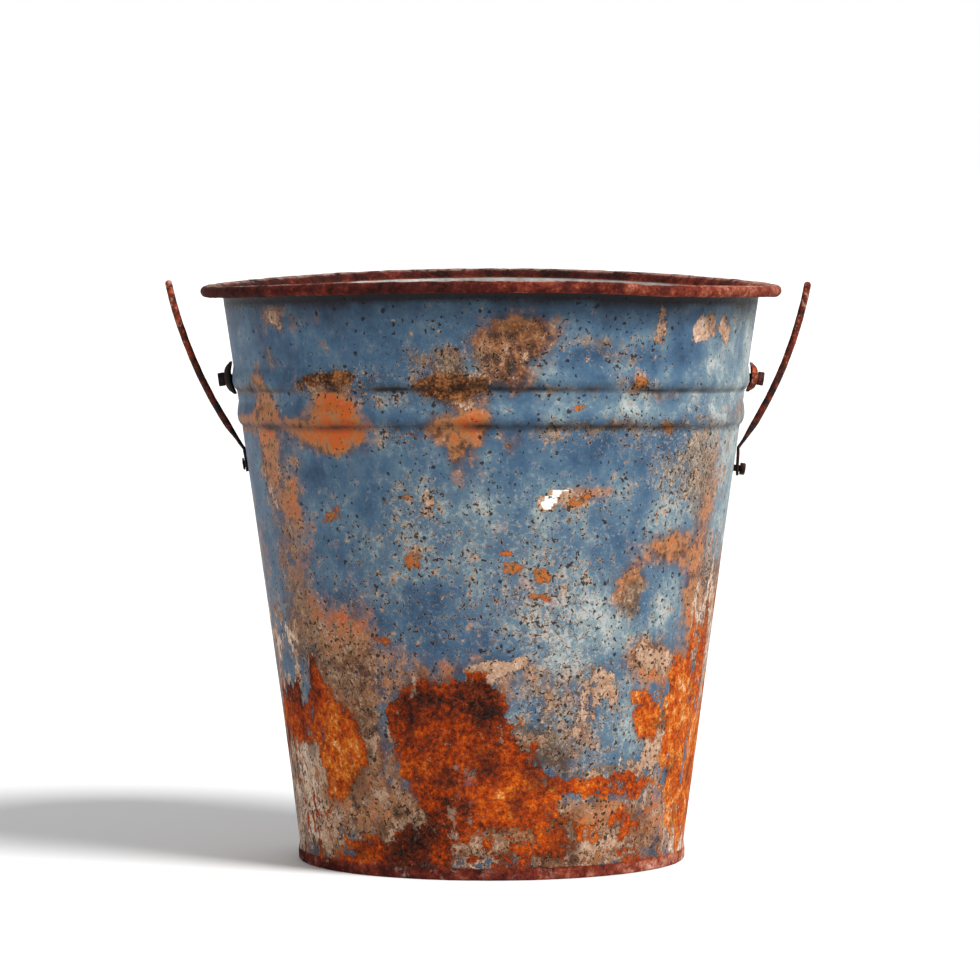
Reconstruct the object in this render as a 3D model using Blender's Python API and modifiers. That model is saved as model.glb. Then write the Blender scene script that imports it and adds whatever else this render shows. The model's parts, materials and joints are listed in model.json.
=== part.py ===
"""Rusty tapered bucket, built as the real one is.

The body is sheet steel rolled to a cone, with two swaged ribs. Its top edge is flared and
curled round a steel wire, and its lower edge is folded round the flange of a pressed bottom.
On each side a hex bolt with an arched washer sits on the upper rib. Below the lower rib hangs
what is left of the wire bail: a short leg whose hammered foot is riveted to the body.

The bucket stands on its foot seam: +Z is up, X runs through the two bail legs, and the
origin is on the ground under the middle of the bottom.
"""

import math

import bmesh
import bpy
from mathutils import Matrix, Vector

# Driving dimensions, in metres and degrees.
SHEET = 0.0008  # thickness of the body and bottom sheet
GAP = 0.0003  # clearance between neighbouring pieces

BUCKET_HEIGHT = 0.2997  # top of the rim before it was bent out of true
RIM_RADIUS = 0.1500  # outside of the curled rim
FOOT_RADIUS = 0.0992  # outside of the body just above the foot seam
BODY_HOLLOW = 0.0009  # how far the cone's middle stands inside a straight line

RIM_OVERHANG = 0.0120  # how far the rim stands out of the body below it
RIM_WIRE = 0.0040  # diameter of the wire in the rim
CURL_TURN = 282.0  # how far the sheet goes round the wire

SEAM_HEIGHT = 0.0058  # height of the folded seam at the foot
SEAM_PROUD = 0.0011  # how far the seam stands out of the body
SEAM_FOLD = 0.0010  # outer radius of the folds in the seam
LIP_HEIGHT = 0.0042  # height of the sheet's edge, inside the bottom's flange
BOTTOM_RECESS = 0.0066  # underside of the bottom above the ground
BOTTOM_CORNER = 0.0020  # outer radius of the corner between bottom and flange

RIB_PROUD = 0.0017  # how far a rib stands out
RIB_WIDTH = 0.0124  # height of a rib along the body
RIB_CREST = 0.36  # its crest's place, as a share of that height above its lower edge
RIB_DROP = 0.0481  # middle of the upper rib below the top of the rim
RIB_SPACING = 0.0183  # between the middles of the two ribs

SADDLE = 0.0028  # the rim is this much high at front and back, and low at the sides
KINK = 0.0013  # step pushed down into the front of the rim
KINK_AT = 30.0  # where the step is, from the front towards +X
KINK_FADE = 50.0  # how far round the rim it fades out

BAIL_ROD = 0.0037  # diameter of the bail wire
FOOT_THICK = 0.0014  # thickness of the hammered foot
FOOT_WIDE = 0.0076  # width of the hammered foot
FOOT_DROP = 0.0188  # where the foot bends out into the leg, below the lower rib's middle
RIVET_SHANK = 0.0034  # diameter of their shanks
RIVET_HEAD = 0.0062  # diameter of their heads
RIVET_TAIL = 0.0012  # height of their set tails, inside the body

BOLT_SHANK = 0.0040  # diameter of the ear bolts
HEX_ACROSS = 0.0070  # across the flats of bolt heads and nuts
HEX_BEVEL = 0.0003  # worn edges of the heads and nuts
HEAD_HEIGHT = 0.0030
NUT_HEIGHT = 0.0032
BOLT_END = 0.0018  # how far a bolt stands out of its nut
WASHER_HUB = 0.0033  # thickness of an arched washer at its middle
WASHER_EDGE = 0.0018  # and at its edge
INNER_WASHER_LAP = 0.0014  # how far a flat washer inside reaches past its rib
INNER_WASHER_THICK = 0.0010

ROUND_STEPS = 48  # faces round the body
SMALL_STEPS = 20  # faces round the fasteners
FOOT_POINTS = 4  # points along a bail foot
LEG_POINTS = 13  # points along the rest of a bail leg

# What differs between the two sides. The legs were bent differently when the bail broke off.
SIDES = {
    "left": {
        "way": -1,
        "tip_out": 0.0166,  # middle of the leg's broken end, outside the rim's edge
        "tip_drop": 0.0019,  # and below the top of the rim
        "bow": 0.0046,  # how far the leg bows out of a straight line
        "foot": 0.0119,  # length of the hammered foot
        "lean": 0.0,  # how far the foot's lower end stands off the body
        "rivet_up": 0.0041,  # rivet above the foot's lower end
        "rivet_head": 0.0008,  # height of its head
        "washer": 0.0172,  # diameter of the arched washer
    },
    "right": {
        "way": 1,
        "tip_out": 0.0136,
        "tip_drop": 0.0032,
        "bow": 0.0046,
        "foot": 0.0144,
        "lean": 0.0014,
        "rivet_up": 0.0039,
        "rivet_head": 0.0029,
        "washer": 0.0154,
    },
}

# Heights and radii that follow from them.
NECK_RADIUS = RIM_RADIUS - RIM_OVERHANG  # outside of the body where the flare starts
UPPER_RIB = BUCKET_HEIGHT - RIB_DROP
LOWER_RIB = UPPER_RIB - RIB_SPACING
FOOT_TOP = LOWER_RIB - FOOT_DROP
FLANGE_RADIUS = FOOT_RADIUS - SHEET - GAP  # outside of the bottom's flange, in the body
LIP_RADIUS = FLANGE_RADIUS - SHEET - GAP  # outside of the sheet's edge, in the flange
INNER_WASHER = RIB_WIDTH + 2 * INNER_WASHER_LAP

RUST_DARK = (0.045, 0.016, 0.010)
RUST_BROWN = (0.130, 0.042, 0.020)
RUST_TAN = (0.300, 0.140, 0.070)
PAINT_BLUE = (0.115, 0.190, 0.270)
DULL_ZINC = (0.230, 0.215, 0.195)


# The form of the body.


def body_radius(height):
    """Outside of the body at a height, without its ribs: a cone, a little hollow."""
    share = (height - SEAM_HEIGHT) / (neck_height() - SEAM_HEIGHT)
    straight = FOOT_RADIUS + (NECK_RADIUS - FOOT_RADIUS) * share
    return straight - 4 * BODY_HOLLOW * share * (1 - share)


def body_slope(height):
    """Angle between the body's outside and the vertical at a height."""
    step = 0.001
    return math.atan2(body_radius(height + step) - body_radius(height - step), 2 * step)


def curl_radius():
    """Inside radius of the curl round the wire."""
    return RIM_WIRE / 2 + GAP


def curl_centre():
    """Distance out and height of the rim wire's middle."""
    outer = curl_radius() + SHEET
    return RIM_RADIUS - outer, BUCKET_HEIGHT - outer


def flare_radius():
    """Outer radius of the bend from the body into the rim, which ends over the wire."""
    return curl_centre()[0] - NECK_RADIUS - RIM_WIRE / 4


def neck_height():
    """Height at which the body bends out into the flare."""
    return BUCKET_HEIGHT - SHEET - flare_radius()


def rib_rise(height):
    """How far the ribs stand out at a height: a long upper flank and a steeper lower one."""
    power = math.log(0.5) / math.log(RIB_CREST)
    rise = 0.0
    for middle in (UPPER_RIB, LOWER_RIB):
        share = (height - middle) / RIB_WIDTH + 0.5
        if 0 < share < 1:
            rise += RIB_PROUD * math.sin(math.pi * share**power)
    return rise


def out_of_true(x, y, z):
    """How far up a point of the bent body has moved: a saddle, and a step in the front rim."""
    angle = math.atan2(y, x)
    level = z / BUCKET_HEIGHT
    saddle = -SADDLE * level * math.cos(2 * angle)
    past = math.degrees(angle) + 90 - KINK_AT
    if past < -4 or past > KINK_FADE:
        return saddle
    step = min(1.0, (past + 4) / 8)
    fade = 1 - max(0.0, past) / KINK_FADE
    return saddle - KINK * level**12 * step * fade**2


def arc(centre, radius, start, end, count):
    """Points (out, up) on an arc, from the start angle to the end angle in degrees."""
    angles = [math.radians(start + (end - start) * i / count) for i in range(count + 1)]
    return [(centre[0] + radius * math.cos(a), centre[1] + radius * math.sin(a)) for a in angles]


# Modelling helpers.


def collection(name):
    """New collection in the scene."""
    made = bpy.data.collections.new(name)
    bpy.context.scene.collection.children.link(made)
    return made


def material(name, colour, roughness, metallic):
    """Principled material of one colour."""
    made = bpy.data.materials.new(name)
    made.use_nodes = True
    shader = made.node_tree.nodes["Principled BSDF"]
    shader.inputs["Base Color"].default_value = (*colour, 1)
    shader.inputs["Roughness"].default_value = roughness
    shader.inputs["Metallic"].default_value = metallic
    made.diffuse_color = (*colour, 1)
    return made


def add(name, mesh, finish, home):
    """Object for a mesh, with its material, in a collection."""
    made = bpy.data.objects.new(name, mesh)
    made.data.materials.append(finish)
    home.objects.link(made)
    return made


def turned(name, profile, steps, finish, home, closed=False, thickness=None):
    """Solid turned round Z from a profile of (out, up) points that runs down its outer side.

    With a thickness the profile is a sheet's outer face, and the sheet lies behind it.
    """
    mesh = bpy.data.meshes.new(name)
    edges = [(i, i + 1) for i in range(len(profile) - 1)]
    if closed:
        edges.append((len(profile) - 1, 0))
    mesh.from_pydata([(out, 0.0, up) for out, up in profile], edges, [])
    made = add(name, mesh, finish, home)
    screw = made.modifiers.new("turn", "SCREW")
    screw.steps = steps
    screw.render_steps = steps
    screw.use_merge_vertices = True
    screw.merge_threshold = 0.00001
    if thickness:
        wall = made.modifiers.new("sheet", "SOLIDIFY")
        wall.thickness = thickness
        wall.offset = -1
        wall.use_even_offset = True
    return made


def freeze(made):
    """Replaces an object's mesh with its evaluated one, and drops its modifiers."""
    graph = bpy.context.evaluated_depsgraph_get()
    mesh = bpy.data.meshes.new_from_object(made.evaluated_get(graph))
    made.modifiers.clear()
    made.data = mesh
    return made


def bend_out_of_true(made):
    """Moves each vertex of a turned body piece as the bent bucket has moved."""
    freeze(made)
    for vertex in made.data.vertices:
        vertex.co.z += out_of_true(*vertex.co)
    return made


def boolean(made, other, operation):
    """Exact Boolean of one object with another that is only its tool."""
    cut = made.modifiers.new(operation.lower(), "BOOLEAN")
    cut.operation = operation
    cut.solver = "EXACT"
    cut.object = other
    other.hide_render = True
    other.display_type = "WIRE"


def prism(name, across, height, sides, finish, home, bevel=0.0):
    """Upright prism on Z = 0, measured across its flats, or a rod when it has many sides."""
    mesh = bpy.data.meshes.new(name)
    shape = bmesh.new()
    radius = across / 2 / math.cos(math.pi / sides)
    bmesh.ops.create_cone(
        shape,
        cap_ends=True,
        segments=sides,
        radius1=radius,
        radius2=radius,
        depth=height,
        matrix=Matrix.Translation((0, 0, height / 2)),
    )
    if bevel:
        rims = [e for e in shape.edges if abs(e.verts[0].co.z - e.verts[1].co.z) < height / 2]
        bmesh.ops.bevel(shape, geom=rims, offset=bevel, segments=1, affect="EDGES")
    shape.to_mesh(mesh)
    shape.free()
    return add(name, mesh, finish, home)


def shade(made):
    """Smooth shading, with edges over 35 degrees kept sharp."""
    made.data.shade_smooth()
    made.data.set_sharp_from_angle(angle=math.radians(35))


def seat(way, height, off=0.0):
    """Frame on the body's outside at a height, on the +X or -X side, and off it by a distance.

    Its Z points out of the body, its X up along the body and its Y level.
    """
    slope = body_slope(height)
    out = Vector((way * math.cos(slope), 0, -math.sin(slope)))
    up = Vector((way * math.sin(slope), 0, math.cos(slope)))
    at = Vector((way * body_radius(height), 0, height))
    at.z += out_of_true(*at)
    frame = Matrix((up, out.cross(up), out)).transposed().to_4x4()
    frame.translation = at + out * off
    return frame


def place(made, frame):
    """Puts an object into a frame by its location and rotation."""
    made.location = frame.to_translation()
    made.rotation_euler = frame.to_euler()


# The pieces.


def body_profile():
    """Outer face of the body sheet, from its edge in the curl down to its edge in the seam."""
    centre = curl_centre()
    curl = arc(centre, curl_radius(), 90 - CURL_TURN, 90, 10)
    bend = flare_radius()
    flare = arc((NECK_RADIUS + bend, neck_height()), bend, 90, 180, 4)

    half = RIB_WIDTH / 2
    rib_top = UPPER_RIB + half
    heights = [rib_top + (neck_height() - rib_top) * share for share in (0.8, 0.4)]
    for middle in (UPPER_RIB, LOWER_RIB):
        heights += [middle + half * (1 - 2 * i / 6) for i in range(7)]
    lowest = LOWER_RIB - half
    heights += [lowest + (SEAM_HEIGHT - lowest) * i / 5 for i in range(1, 6)]
    side = [(body_radius(z) + rib_rise(z), z) for z in heights]

    seam_out = FOOT_RADIUS + SEAM_PROUD
    fold = SEAM_FOLD
    seam = [(seam_out, SEAM_HEIGHT - fold)]
    seam += arc((seam_out - fold, fold), fold, 0, -90, 3)
    lip = LIP_RADIUS - SHEET
    seam += arc((lip + fold, fold), fold, -90, -180, 3)
    seam.append((lip, LIP_HEIGHT))
    return curl + flare + side + seam


def make_body(home, tools):
    """Body sheet with its ribs, rim curl and foot seam, holed for the bolts and rivets."""
    finish = material("weathered_blue_paint", PAINT_BLUE, 0.6, 0.0)
    wall = turned("bucket_wall", body_profile(), ROUND_STEPS, finish, home, thickness=SHEET)
    bend_out_of_true(wall)
    reach = 0.012
    for side, facts in SIDES.items():
        for what, height, shank in (
            ("bolt", UPPER_RIB, BOLT_SHANK),
            ("rivet", rivet_height(facts), RIVET_SHANK),
        ):
            hole = prism(f"{what}_hole_{side}", shank + 2 * GAP, 2 * reach, 16, finish, tools)
            place(hole, seat(facts["way"], height, -reach))
            boolean(wall, hole, "DIFFERENCE")
    shade(wall)


def make_rim_wire(home):
    """Steel wire inside the curled rim."""
    finish = material("bare_rusty_wire", RUST_DARK, 0.8, 0.3)
    out, up = curl_centre()
    section = arc((out, up), RIM_WIRE / 2, 90, -225, 7)
    wire = turned("rim_wire", section, ROUND_STEPS, finish, home, closed=True)
    bend_out_of_true(wire)
    shade(wire)


def make_bottom(home):
    """Pressed bottom: a disc whose turned-down flange stands in the foot seam."""
    finish = material("rusty_bottom", RUST_BROWN, 0.85, 0.1)
    top = BOTTOM_RECESS + SHEET
    middle = (FLANGE_RADIUS - BOTTOM_CORNER, top - BOTTOM_CORNER)
    corner = arc(middle, BOTTOM_CORNER, 90, 0, 3)
    disc = [(0.0, top), (FLANGE_RADIUS / 2, top)]
    flange = [(FLANGE_RADIUS, SHEET + GAP)]
    bottom = turned(
        "bucket_bottom", disc + corner + flange, ROUND_STEPS, finish, home, thickness=SHEET
    )
    bend_out_of_true(bottom)
    shade(bottom)


def foot_lean(facts, height):
    """How far the foot stands off the body at a height: most at its lower end."""
    return facts["lean"] * (FOOT_TOP - height) / facts["foot"]


def rivet_height(facts):
    """Height of a bail foot's rivet."""
    return FOOT_TOP - facts["foot"] + facts["rivet_up"]


def leg_path(facts):
    """Middle line of a bail leg as (out, up) points, from the foot's end to the broken tip.

    The foot lies along the body and the rest is an arc, bowed out of the straight line.
    """
    path = []
    for i in range(FOOT_POINTS):
        z = FOOT_TOP - facts["foot"] * (1 - i / (FOOT_POINTS - 1))
        out = body_radius(z)
        off = GAP + FOOT_THICK / 2 + foot_lean(facts, z)
        path.append(Vector((out + off, z + out_of_true(out, 0, z))))
    z = FOOT_TOP + BAIL_ROD / 2
    out = body_radius(z)
    start = Vector((out + GAP + BAIL_ROD / 2, z + out_of_true(out, 0, z)))
    tip = Vector((RIM_RADIUS + facts["tip_out"], BUCKET_HEIGHT - facts["tip_drop"]))
    chord = tip - start
    side = Vector((chord.y, -chord.x)).normalized()
    for i in range(LEG_POINTS):
        share = i / (LEG_POINTS - 1)
        path.append(start + chord * share + side * (4 * facts["bow"] * share * (1 - share)))
    return path


def leg_section(round_share, across, centre):
    """Ring of points round the leg: a flat strip at 0, a round wire at 1."""
    thick = FOOT_THICK + (BAIL_ROD - FOOT_THICK) * round_share
    wide = FOOT_WIDE + (BAIL_ROD - FOOT_WIDE) * round_share
    power = 0.5 + 0.5 * round_share
    ring = []
    for i in range(12):
        angle = 2 * math.pi * i / 12
        c = math.copysign(abs(math.cos(angle)) ** power, math.cos(angle))
        s = math.copysign(abs(math.sin(angle)) ** power, math.sin(angle))
        ring.append(centre + across * (c * thick / 2) + Vector((0, s * wide / 2, 0)))
    return ring


def loft(name, rings, finish, home):
    """Closed solid through rings of points, capped at both ends."""
    mesh = bpy.data.meshes.new(name)
    shape = bmesh.new()
    loops = [[shape.verts.new(point) for point in ring] for ring in rings]
    for lower, upper in zip(loops, loops[1:]):
        for i in range(len(lower)):
            j = (i + 1) % len(lower)
            shape.faces.new((lower[i], lower[j], upper[j], upper[i]))
    shape.faces.new(reversed(loops[0]))
    shape.faces.new(loops[-1])
    bmesh.ops.recalc_face_normals(shape, faces=shape.faces)
    shape.to_mesh(mesh)
    shape.free()
    return add(name, mesh, finish, home)


def make_leg(side, facts, home, tools):
    """Bail leg: a round wire, its broken tip rounded by rust and its foot hammered flat."""
    finish = material(f"rusty_wire_{side}", RUST_BROWN, 0.75, 0.2)
    way = facts["way"]
    path = [Vector((way * point.x, 0, point.y)) for point in leg_path(facts)]
    last = len(path) - 1
    rings = []
    for i, centre in enumerate(path):
        along = path[min(i + 1, last)] - path[max(i - 1, 0)]
        across = Vector((along.z, 0, -along.x)).normalized()
        round_share = min(1.0, max(0.0, (i - FOOT_POINTS + 1) / 3))
        rings.append(leg_section(round_share, across, centre))
    forward = (path[last] - path[last - 1]).normalized()
    for degrees in (35, 65):
        shift = forward * (BAIL_ROD / 2 * math.sin(math.radians(degrees)))
        narrow = math.cos(math.radians(degrees))
        middle = path[last] + shift
        rings.append([middle + (point - path[last]) * narrow for point in rings[last]])
    leg = loft(f"bail_leg_{side}", rings, finish, home)
    hole = prism(f"foot_hole_{side}", RIVET_SHANK + 2 * GAP, BAIL_ROD * 2, 16, finish, tools)
    place(hole, seat(way, rivet_height(facts), -GAP))
    boolean(leg, hole, "DIFFERENCE")
    shade(leg)


def make_rivet(side, facts, home):
    """Rivet through a bail foot and the body, with its tail set over inside."""
    finish = material(f"rusty_rivet_{side}", RUST_DARK, 0.8, 0.2)
    head = facts["rivet_head"]
    shank = RIVET_SHANK / 2
    wide = RIVET_HEAD / 2
    fillet = min(head * 0.45, 0.0009)
    under_head = 2 * GAP + FOOT_THICK + foot_lean(facts, rivet_height(facts) - wide)
    tail_top = -SHEET - 2 * GAP
    top = under_head + head
    profile = [(0.0, top)]
    profile += arc((wide - fillet, top - fillet), fillet, 90, 0, 3)
    profile += [(wide, under_head), (shank, under_head), (shank, tail_top)]
    tail_end = tail_top - RIVET_TAIL
    profile += [(wide, tail_top), (wide * 0.75, tail_end), (0.0, tail_end)]
    rivet = turned(f"foot_rivet_{side}", profile, SMALL_STEPS, finish, home)
    place(rivet, seat(facts["way"], rivet_height(facts)))
    shade(rivet)


def washer_rise():
    """Height of an arched washer's underside over the body, at the middle, clear of the rib."""
    return RIB_PROUD + 2 * GAP


def make_ear_washer(side, facts, home):
    """Domed washer, arched over the rib so that its upper and lower edges reach the body."""
    finish = material(f"rusty_washer_{side}", RUST_TAN, 0.85, 0.1)
    outer = facts["washer"] / 2
    bore = BOLT_SHANK / 2 + GAP
    head = HEX_ACROSS / 2 * 1.2
    edge = WASHER_EDGE / 3
    profile = [
        (bore, WASHER_HUB),
        (head, WASHER_HUB),
        (outer - edge, WASHER_EDGE),
        (outer, WASHER_EDGE - edge),
        (outer, edge),
        (outer - edge, 0.0),
        (head, 0.0),
        (bore, 0.0),
    ]
    washer = turned(f"ear_washer_{side}", profile, SMALL_STEPS, finish, home, closed=True)
    freeze(washer)
    drop = washer_rise() - GAP
    for vertex in washer.data.vertices:
        vertex.co.z -= drop * (vertex.co.x / outer) ** 2
    place(washer, seat(facts["way"], UPPER_RIB, washer_rise()))
    shade(washer)


def inner_seat():
    """Distance from the body's outside to the flat washer inside, which bridges the rib."""
    sink = (INNER_WASHER / 2) ** 2 / (2 * body_radius(UPPER_RIB))
    return SHEET + GAP + sink


def make_ear_bolt(side, facts, home, tools):
    """Hex bolt through the arched washer, the body, and the washer and nut inside."""
    finish = material(f"rusty_bolt_{side}", RUST_DARK, 0.75, 0.3)
    head_at = washer_rise() + WASHER_HUB + GAP
    inner_end = inner_seat() + INNER_WASHER_THICK + 2 * GAP + NUT_HEIGHT + BOLT_END
    name = f"ear_bolt_{side}"
    bolt = prism(name, HEX_ACROSS, HEAD_HEIGHT, 6, finish, home, bevel=HEX_BEVEL)
    length = head_at + inner_end + HEAD_HEIGHT / 2
    shank = prism(f"shank_{side}", BOLT_SHANK, length, 16, finish, tools)
    place(bolt, seat(facts["way"], UPPER_RIB, head_at))
    place(shank, seat(facts["way"], UPPER_RIB, -inner_end))
    boolean(bolt, shank, "UNION")
    shade(bolt)


def make_inner_fixings(side, facts, home, tools):
    """Flat washer and hex nut on the inside end of an ear bolt."""
    finish = material(f"rusty_fixing_{side}", RUST_BROWN, 0.8, 0.2)
    bore = BOLT_SHANK / 2 + GAP
    outer = INNER_WASHER / 2
    thick = INNER_WASHER_THICK
    profile = [(bore, thick), (outer, thick), (outer, 0.0), (bore, 0.0)]
    washer = turned(f"inner_washer_{side}", profile, SMALL_STEPS, finish, home, closed=True)
    washer_at = inner_seat() + thick
    place(washer, seat(facts["way"], UPPER_RIB, -washer_at))
    shade(washer)

    nut = prism(f"ear_nut_{side}", HEX_ACROSS, NUT_HEIGHT, 6, finish, home, bevel=HEX_BEVEL)
    nut_at = washer_at + GAP + NUT_HEIGHT
    place(nut, seat(facts["way"], UPPER_RIB, -nut_at))
    hole = prism(f"nut_hole_{side}", 2 * bore, 3 * NUT_HEIGHT, 16, finish, tools)
    place(hole, seat(facts["way"], UPPER_RIB, -nut_at - NUT_HEIGHT))
    boolean(nut, hole, "DIFFERENCE")
    shade(nut)


def build():
    """The whole bucket."""
    for old in list(bpy.data.objects):
        bpy.data.objects.remove(old)
    home = collection("rusty_bucket")
    tools = collection("cutters")
    make_body(home, tools)
    make_rim_wire(home)
    make_bottom(home)
    for side, facts in SIDES.items():
        make_leg(side, facts, home, tools)
        make_rivet(side, facts, home)
        make_ear_washer(side, facts, home)
        make_ear_bolt(side, facts, home, tools)
        make_inner_fixings(side, facts, home, tools)


build()
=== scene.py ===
"""Looks of the rusty bucket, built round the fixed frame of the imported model.

Angles round the bucket are in degrees from its front (-Y) towards +X. Lengths are in metres,
except that the rows of patches give theirs in millimetres.
"""

import json
import math

import bpy
import numpy as np
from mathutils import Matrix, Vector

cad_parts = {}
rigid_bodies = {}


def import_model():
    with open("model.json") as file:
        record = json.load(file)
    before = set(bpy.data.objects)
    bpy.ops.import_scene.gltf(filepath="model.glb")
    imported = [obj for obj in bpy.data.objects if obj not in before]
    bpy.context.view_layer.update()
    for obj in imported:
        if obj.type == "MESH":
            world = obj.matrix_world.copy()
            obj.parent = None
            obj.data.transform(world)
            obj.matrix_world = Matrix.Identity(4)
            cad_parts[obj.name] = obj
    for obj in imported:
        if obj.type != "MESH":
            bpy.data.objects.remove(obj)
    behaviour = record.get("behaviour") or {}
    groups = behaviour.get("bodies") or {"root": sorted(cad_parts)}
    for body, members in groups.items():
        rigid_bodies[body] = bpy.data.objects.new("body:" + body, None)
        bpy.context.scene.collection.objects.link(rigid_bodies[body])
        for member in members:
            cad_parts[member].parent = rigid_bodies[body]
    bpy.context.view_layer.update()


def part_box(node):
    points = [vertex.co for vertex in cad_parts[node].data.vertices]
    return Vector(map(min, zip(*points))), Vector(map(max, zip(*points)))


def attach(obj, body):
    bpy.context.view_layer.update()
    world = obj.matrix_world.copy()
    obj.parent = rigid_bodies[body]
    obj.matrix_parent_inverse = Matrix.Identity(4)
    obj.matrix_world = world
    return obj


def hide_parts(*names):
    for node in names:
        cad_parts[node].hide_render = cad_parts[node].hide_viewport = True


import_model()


# Floor, light and camera.
# The bucket stands on a wide pale floor under a white sky. One soft light shines down from the
# right in front, and the sky and two weak lights fill the shadows.

FLOOR_REACH = 80.0
CAMERA_AT = (-0.0004, -2.92, 0.3672)
CAMERA_DOWN = 3.46  # degrees below level
CAMERA_ROLL = 0.08  # degrees
CAMERA_LENS = 207.5
SKY_SEEN = 1.0
SKY_LIGHT = 0.34

scene = bpy.context.scene
scene.view_settings.view_transform = "Standard"
for old in list(scene.objects):
    if old.type in ("LIGHT", "CAMERA") or old.name == "Cube":
        bpy.data.objects.remove(old)

floor_mesh = bpy.data.meshes.new("floor")
corners = FLOOR_REACH * np.array([(-1, -1, 0), (1, -1, 0), (1, 1, 0), (-1, 1, 0)])
floor_mesh.from_pydata(corners.tolist(), [], [(0, 1, 2, 3)])
floor = bpy.data.objects.new("floor", floor_mesh)
scene.collection.objects.link(floor)
pale = bpy.data.materials.new("pale_floor")
pale.use_nodes = True
pale_sockets = pale.node_tree.nodes["Principled BSDF"].inputs
pale_sockets["Base Color"].default_value = (0.78, 0.78, 0.78, 1)
pale_sockets["Roughness"].default_value = 1.0
pale_sockets["Specular IOR Level"].default_value = 0.0
floor_mesh.materials.append(pale)

sky = scene.world or bpy.data.worlds.new("sky")
scene.world = sky
sky.use_nodes = True
sky_nodes, sky_links = sky.node_tree.nodes, sky.node_tree.links
sky_light = sky_nodes["Background"]
sky_light.inputs["Color"].default_value = (1, 1, 1, 1)
sky_light.inputs["Strength"].default_value = SKY_LIGHT
sky_seen = sky_nodes.new("ShaderNodeBackground")
sky_seen.inputs["Color"].default_value = (1, 1, 1, 1)
sky_seen.inputs["Strength"].default_value = SKY_SEEN
sky_choice = sky_nodes.new("ShaderNodeMixShader")
sky_links.new(sky_nodes.new("ShaderNodeLightPath").outputs["Is Camera Ray"], sky_choice.inputs[0])
sky_links.new(sky_light.outputs[0], sky_choice.inputs[1])
sky_links.new(sky_seen.outputs[0], sky_choice.inputs[2])
sky_links.new(sky_choice.outputs[0], sky_nodes["World Output"].inputs["Surface"])


def far_light(name, azimuth, elevation, strength, spread):
    """Soft light from far away: azimuth from the front towards +X and elevation in degrees."""
    lamp = bpy.data.lights.new(name, "SUN")
    lamp.energy = strength
    lamp.angle = math.radians(spread)
    made = bpy.data.objects.new(name, lamp)
    scene.collection.objects.link(made)
    made.rotation_euler = (math.radians(90 - elevation), 0, math.radians(azimuth))


far_light("key_light", 52, 47, 4.3, 22)
far_light("fill_light", -60, 25, 0.5, 60)
far_light("back_light", 165, 40, 1.0, 60)

lens = bpy.data.cameras.new("camera")
lens.lens = CAMERA_LENS
lens.sensor_width = 36.0
camera = bpy.data.objects.new("camera", lens)
scene.collection.objects.link(camera)
camera.location = CAMERA_AT
camera.rotation_euler = (math.radians(90 - CAMERA_DOWN), math.radians(CAMERA_ROLL), 0)
scene.camera = camera


# Body sheet.
# One sheet of 0.8 mm steel, rolled to a cone with two swaged ribs and a locked seam at the
# back. It is flared and curled round the rim wire at the top, and folded round the bottom's
# flange at the foot. It was painted grey-blue, and now flakes and rusts.

MM = 1000  # millimetres in a metre
SHEET = 0.0008
GAP = 0.0003
SADDLE = 0.0028  # the bent rim is this much high at front and back
wall_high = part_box("bucket_wall")[1]
RIM_RADIUS = wall_high.y
BUCKET_HEIGHT = wall_high.z - SADDLE
FOOT_RADIUS = 0.0992
BODY_HOLLOW = 0.0009
NECK_RADIUS = RIM_RADIUS - 0.0120
RIM_WIRE = 0.0040
CURL_TURN = 282.0
SEAM_HEIGHT = 0.0058
SEAM_PROUD = 0.0011
SEAM_FOLD = 0.0010
FOOT_FLARE_TOP = 0.0095  # where the body starts to curve out to the seam
LIP_HEIGHT = 0.0042
FLANGE_RADIUS = FOOT_RADIUS - SHEET - GAP
LIP_RADIUS = FLANGE_RADIUS - SHEET - GAP
RIB_PROUD = 0.0017
RIB_WIDTH = 0.0124
RIB_CREST = 0.36
UPPER_RIB = BUCKET_HEIGHT - 0.0481
LOWER_RIB = UPPER_RIB - 0.0183
KINK = 0.0013
KINK_AT = 30.0
KINK_FADE = 50.0

LOCK_SEAM = 0.0085  # width of the locked side seam
LOCK_PROUD = 0.0009  # how far it stands out
LOCK_EDGE = 0.0008  # width of its rounded edges

CURL = RIM_WIRE / 2 + GAP
CURL_OUT = RIM_RADIUS - CURL - SHEET
CURL_UP = BUCKET_HEIGHT - CURL - SHEET
FLARE = CURL_OUT - NECK_RADIUS - RIM_WIRE / 4
NECK_HEIGHT = BUCKET_HEIGHT - SHEET - FLARE


def smooth(low, high, value):
    """0 below low, 1 above high, and a smooth S between them."""
    share = np.clip((value - low) / (high - low), 0, 1)
    return share * share * (3 - 2 * share)


def body_radius(height):
    """Outside of the body: a cone whose middle is a little hollow, without the ribs."""
    share = (height - SEAM_HEIGHT) / (NECK_HEIGHT - SEAM_HEIGHT)
    straight = FOOT_RADIUS + (NECK_RADIUS - FOOT_RADIUS) * share
    return straight - 4 * BODY_HOLLOW * share * (1 - share)


def rib_rise(height):
    """How far the ribs stand out: half a sine wave whose crest is moved down."""
    power = math.log(0.5) / math.log(RIB_CREST)
    rise = 0.0
    for middle in (UPPER_RIB, LOWER_RIB):
        share = np.clip((height - middle) / RIB_WIDTH + 0.5, 0, 1)
        rise = rise + RIB_PROUD * np.sin(np.pi * share**power)
    return rise


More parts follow.
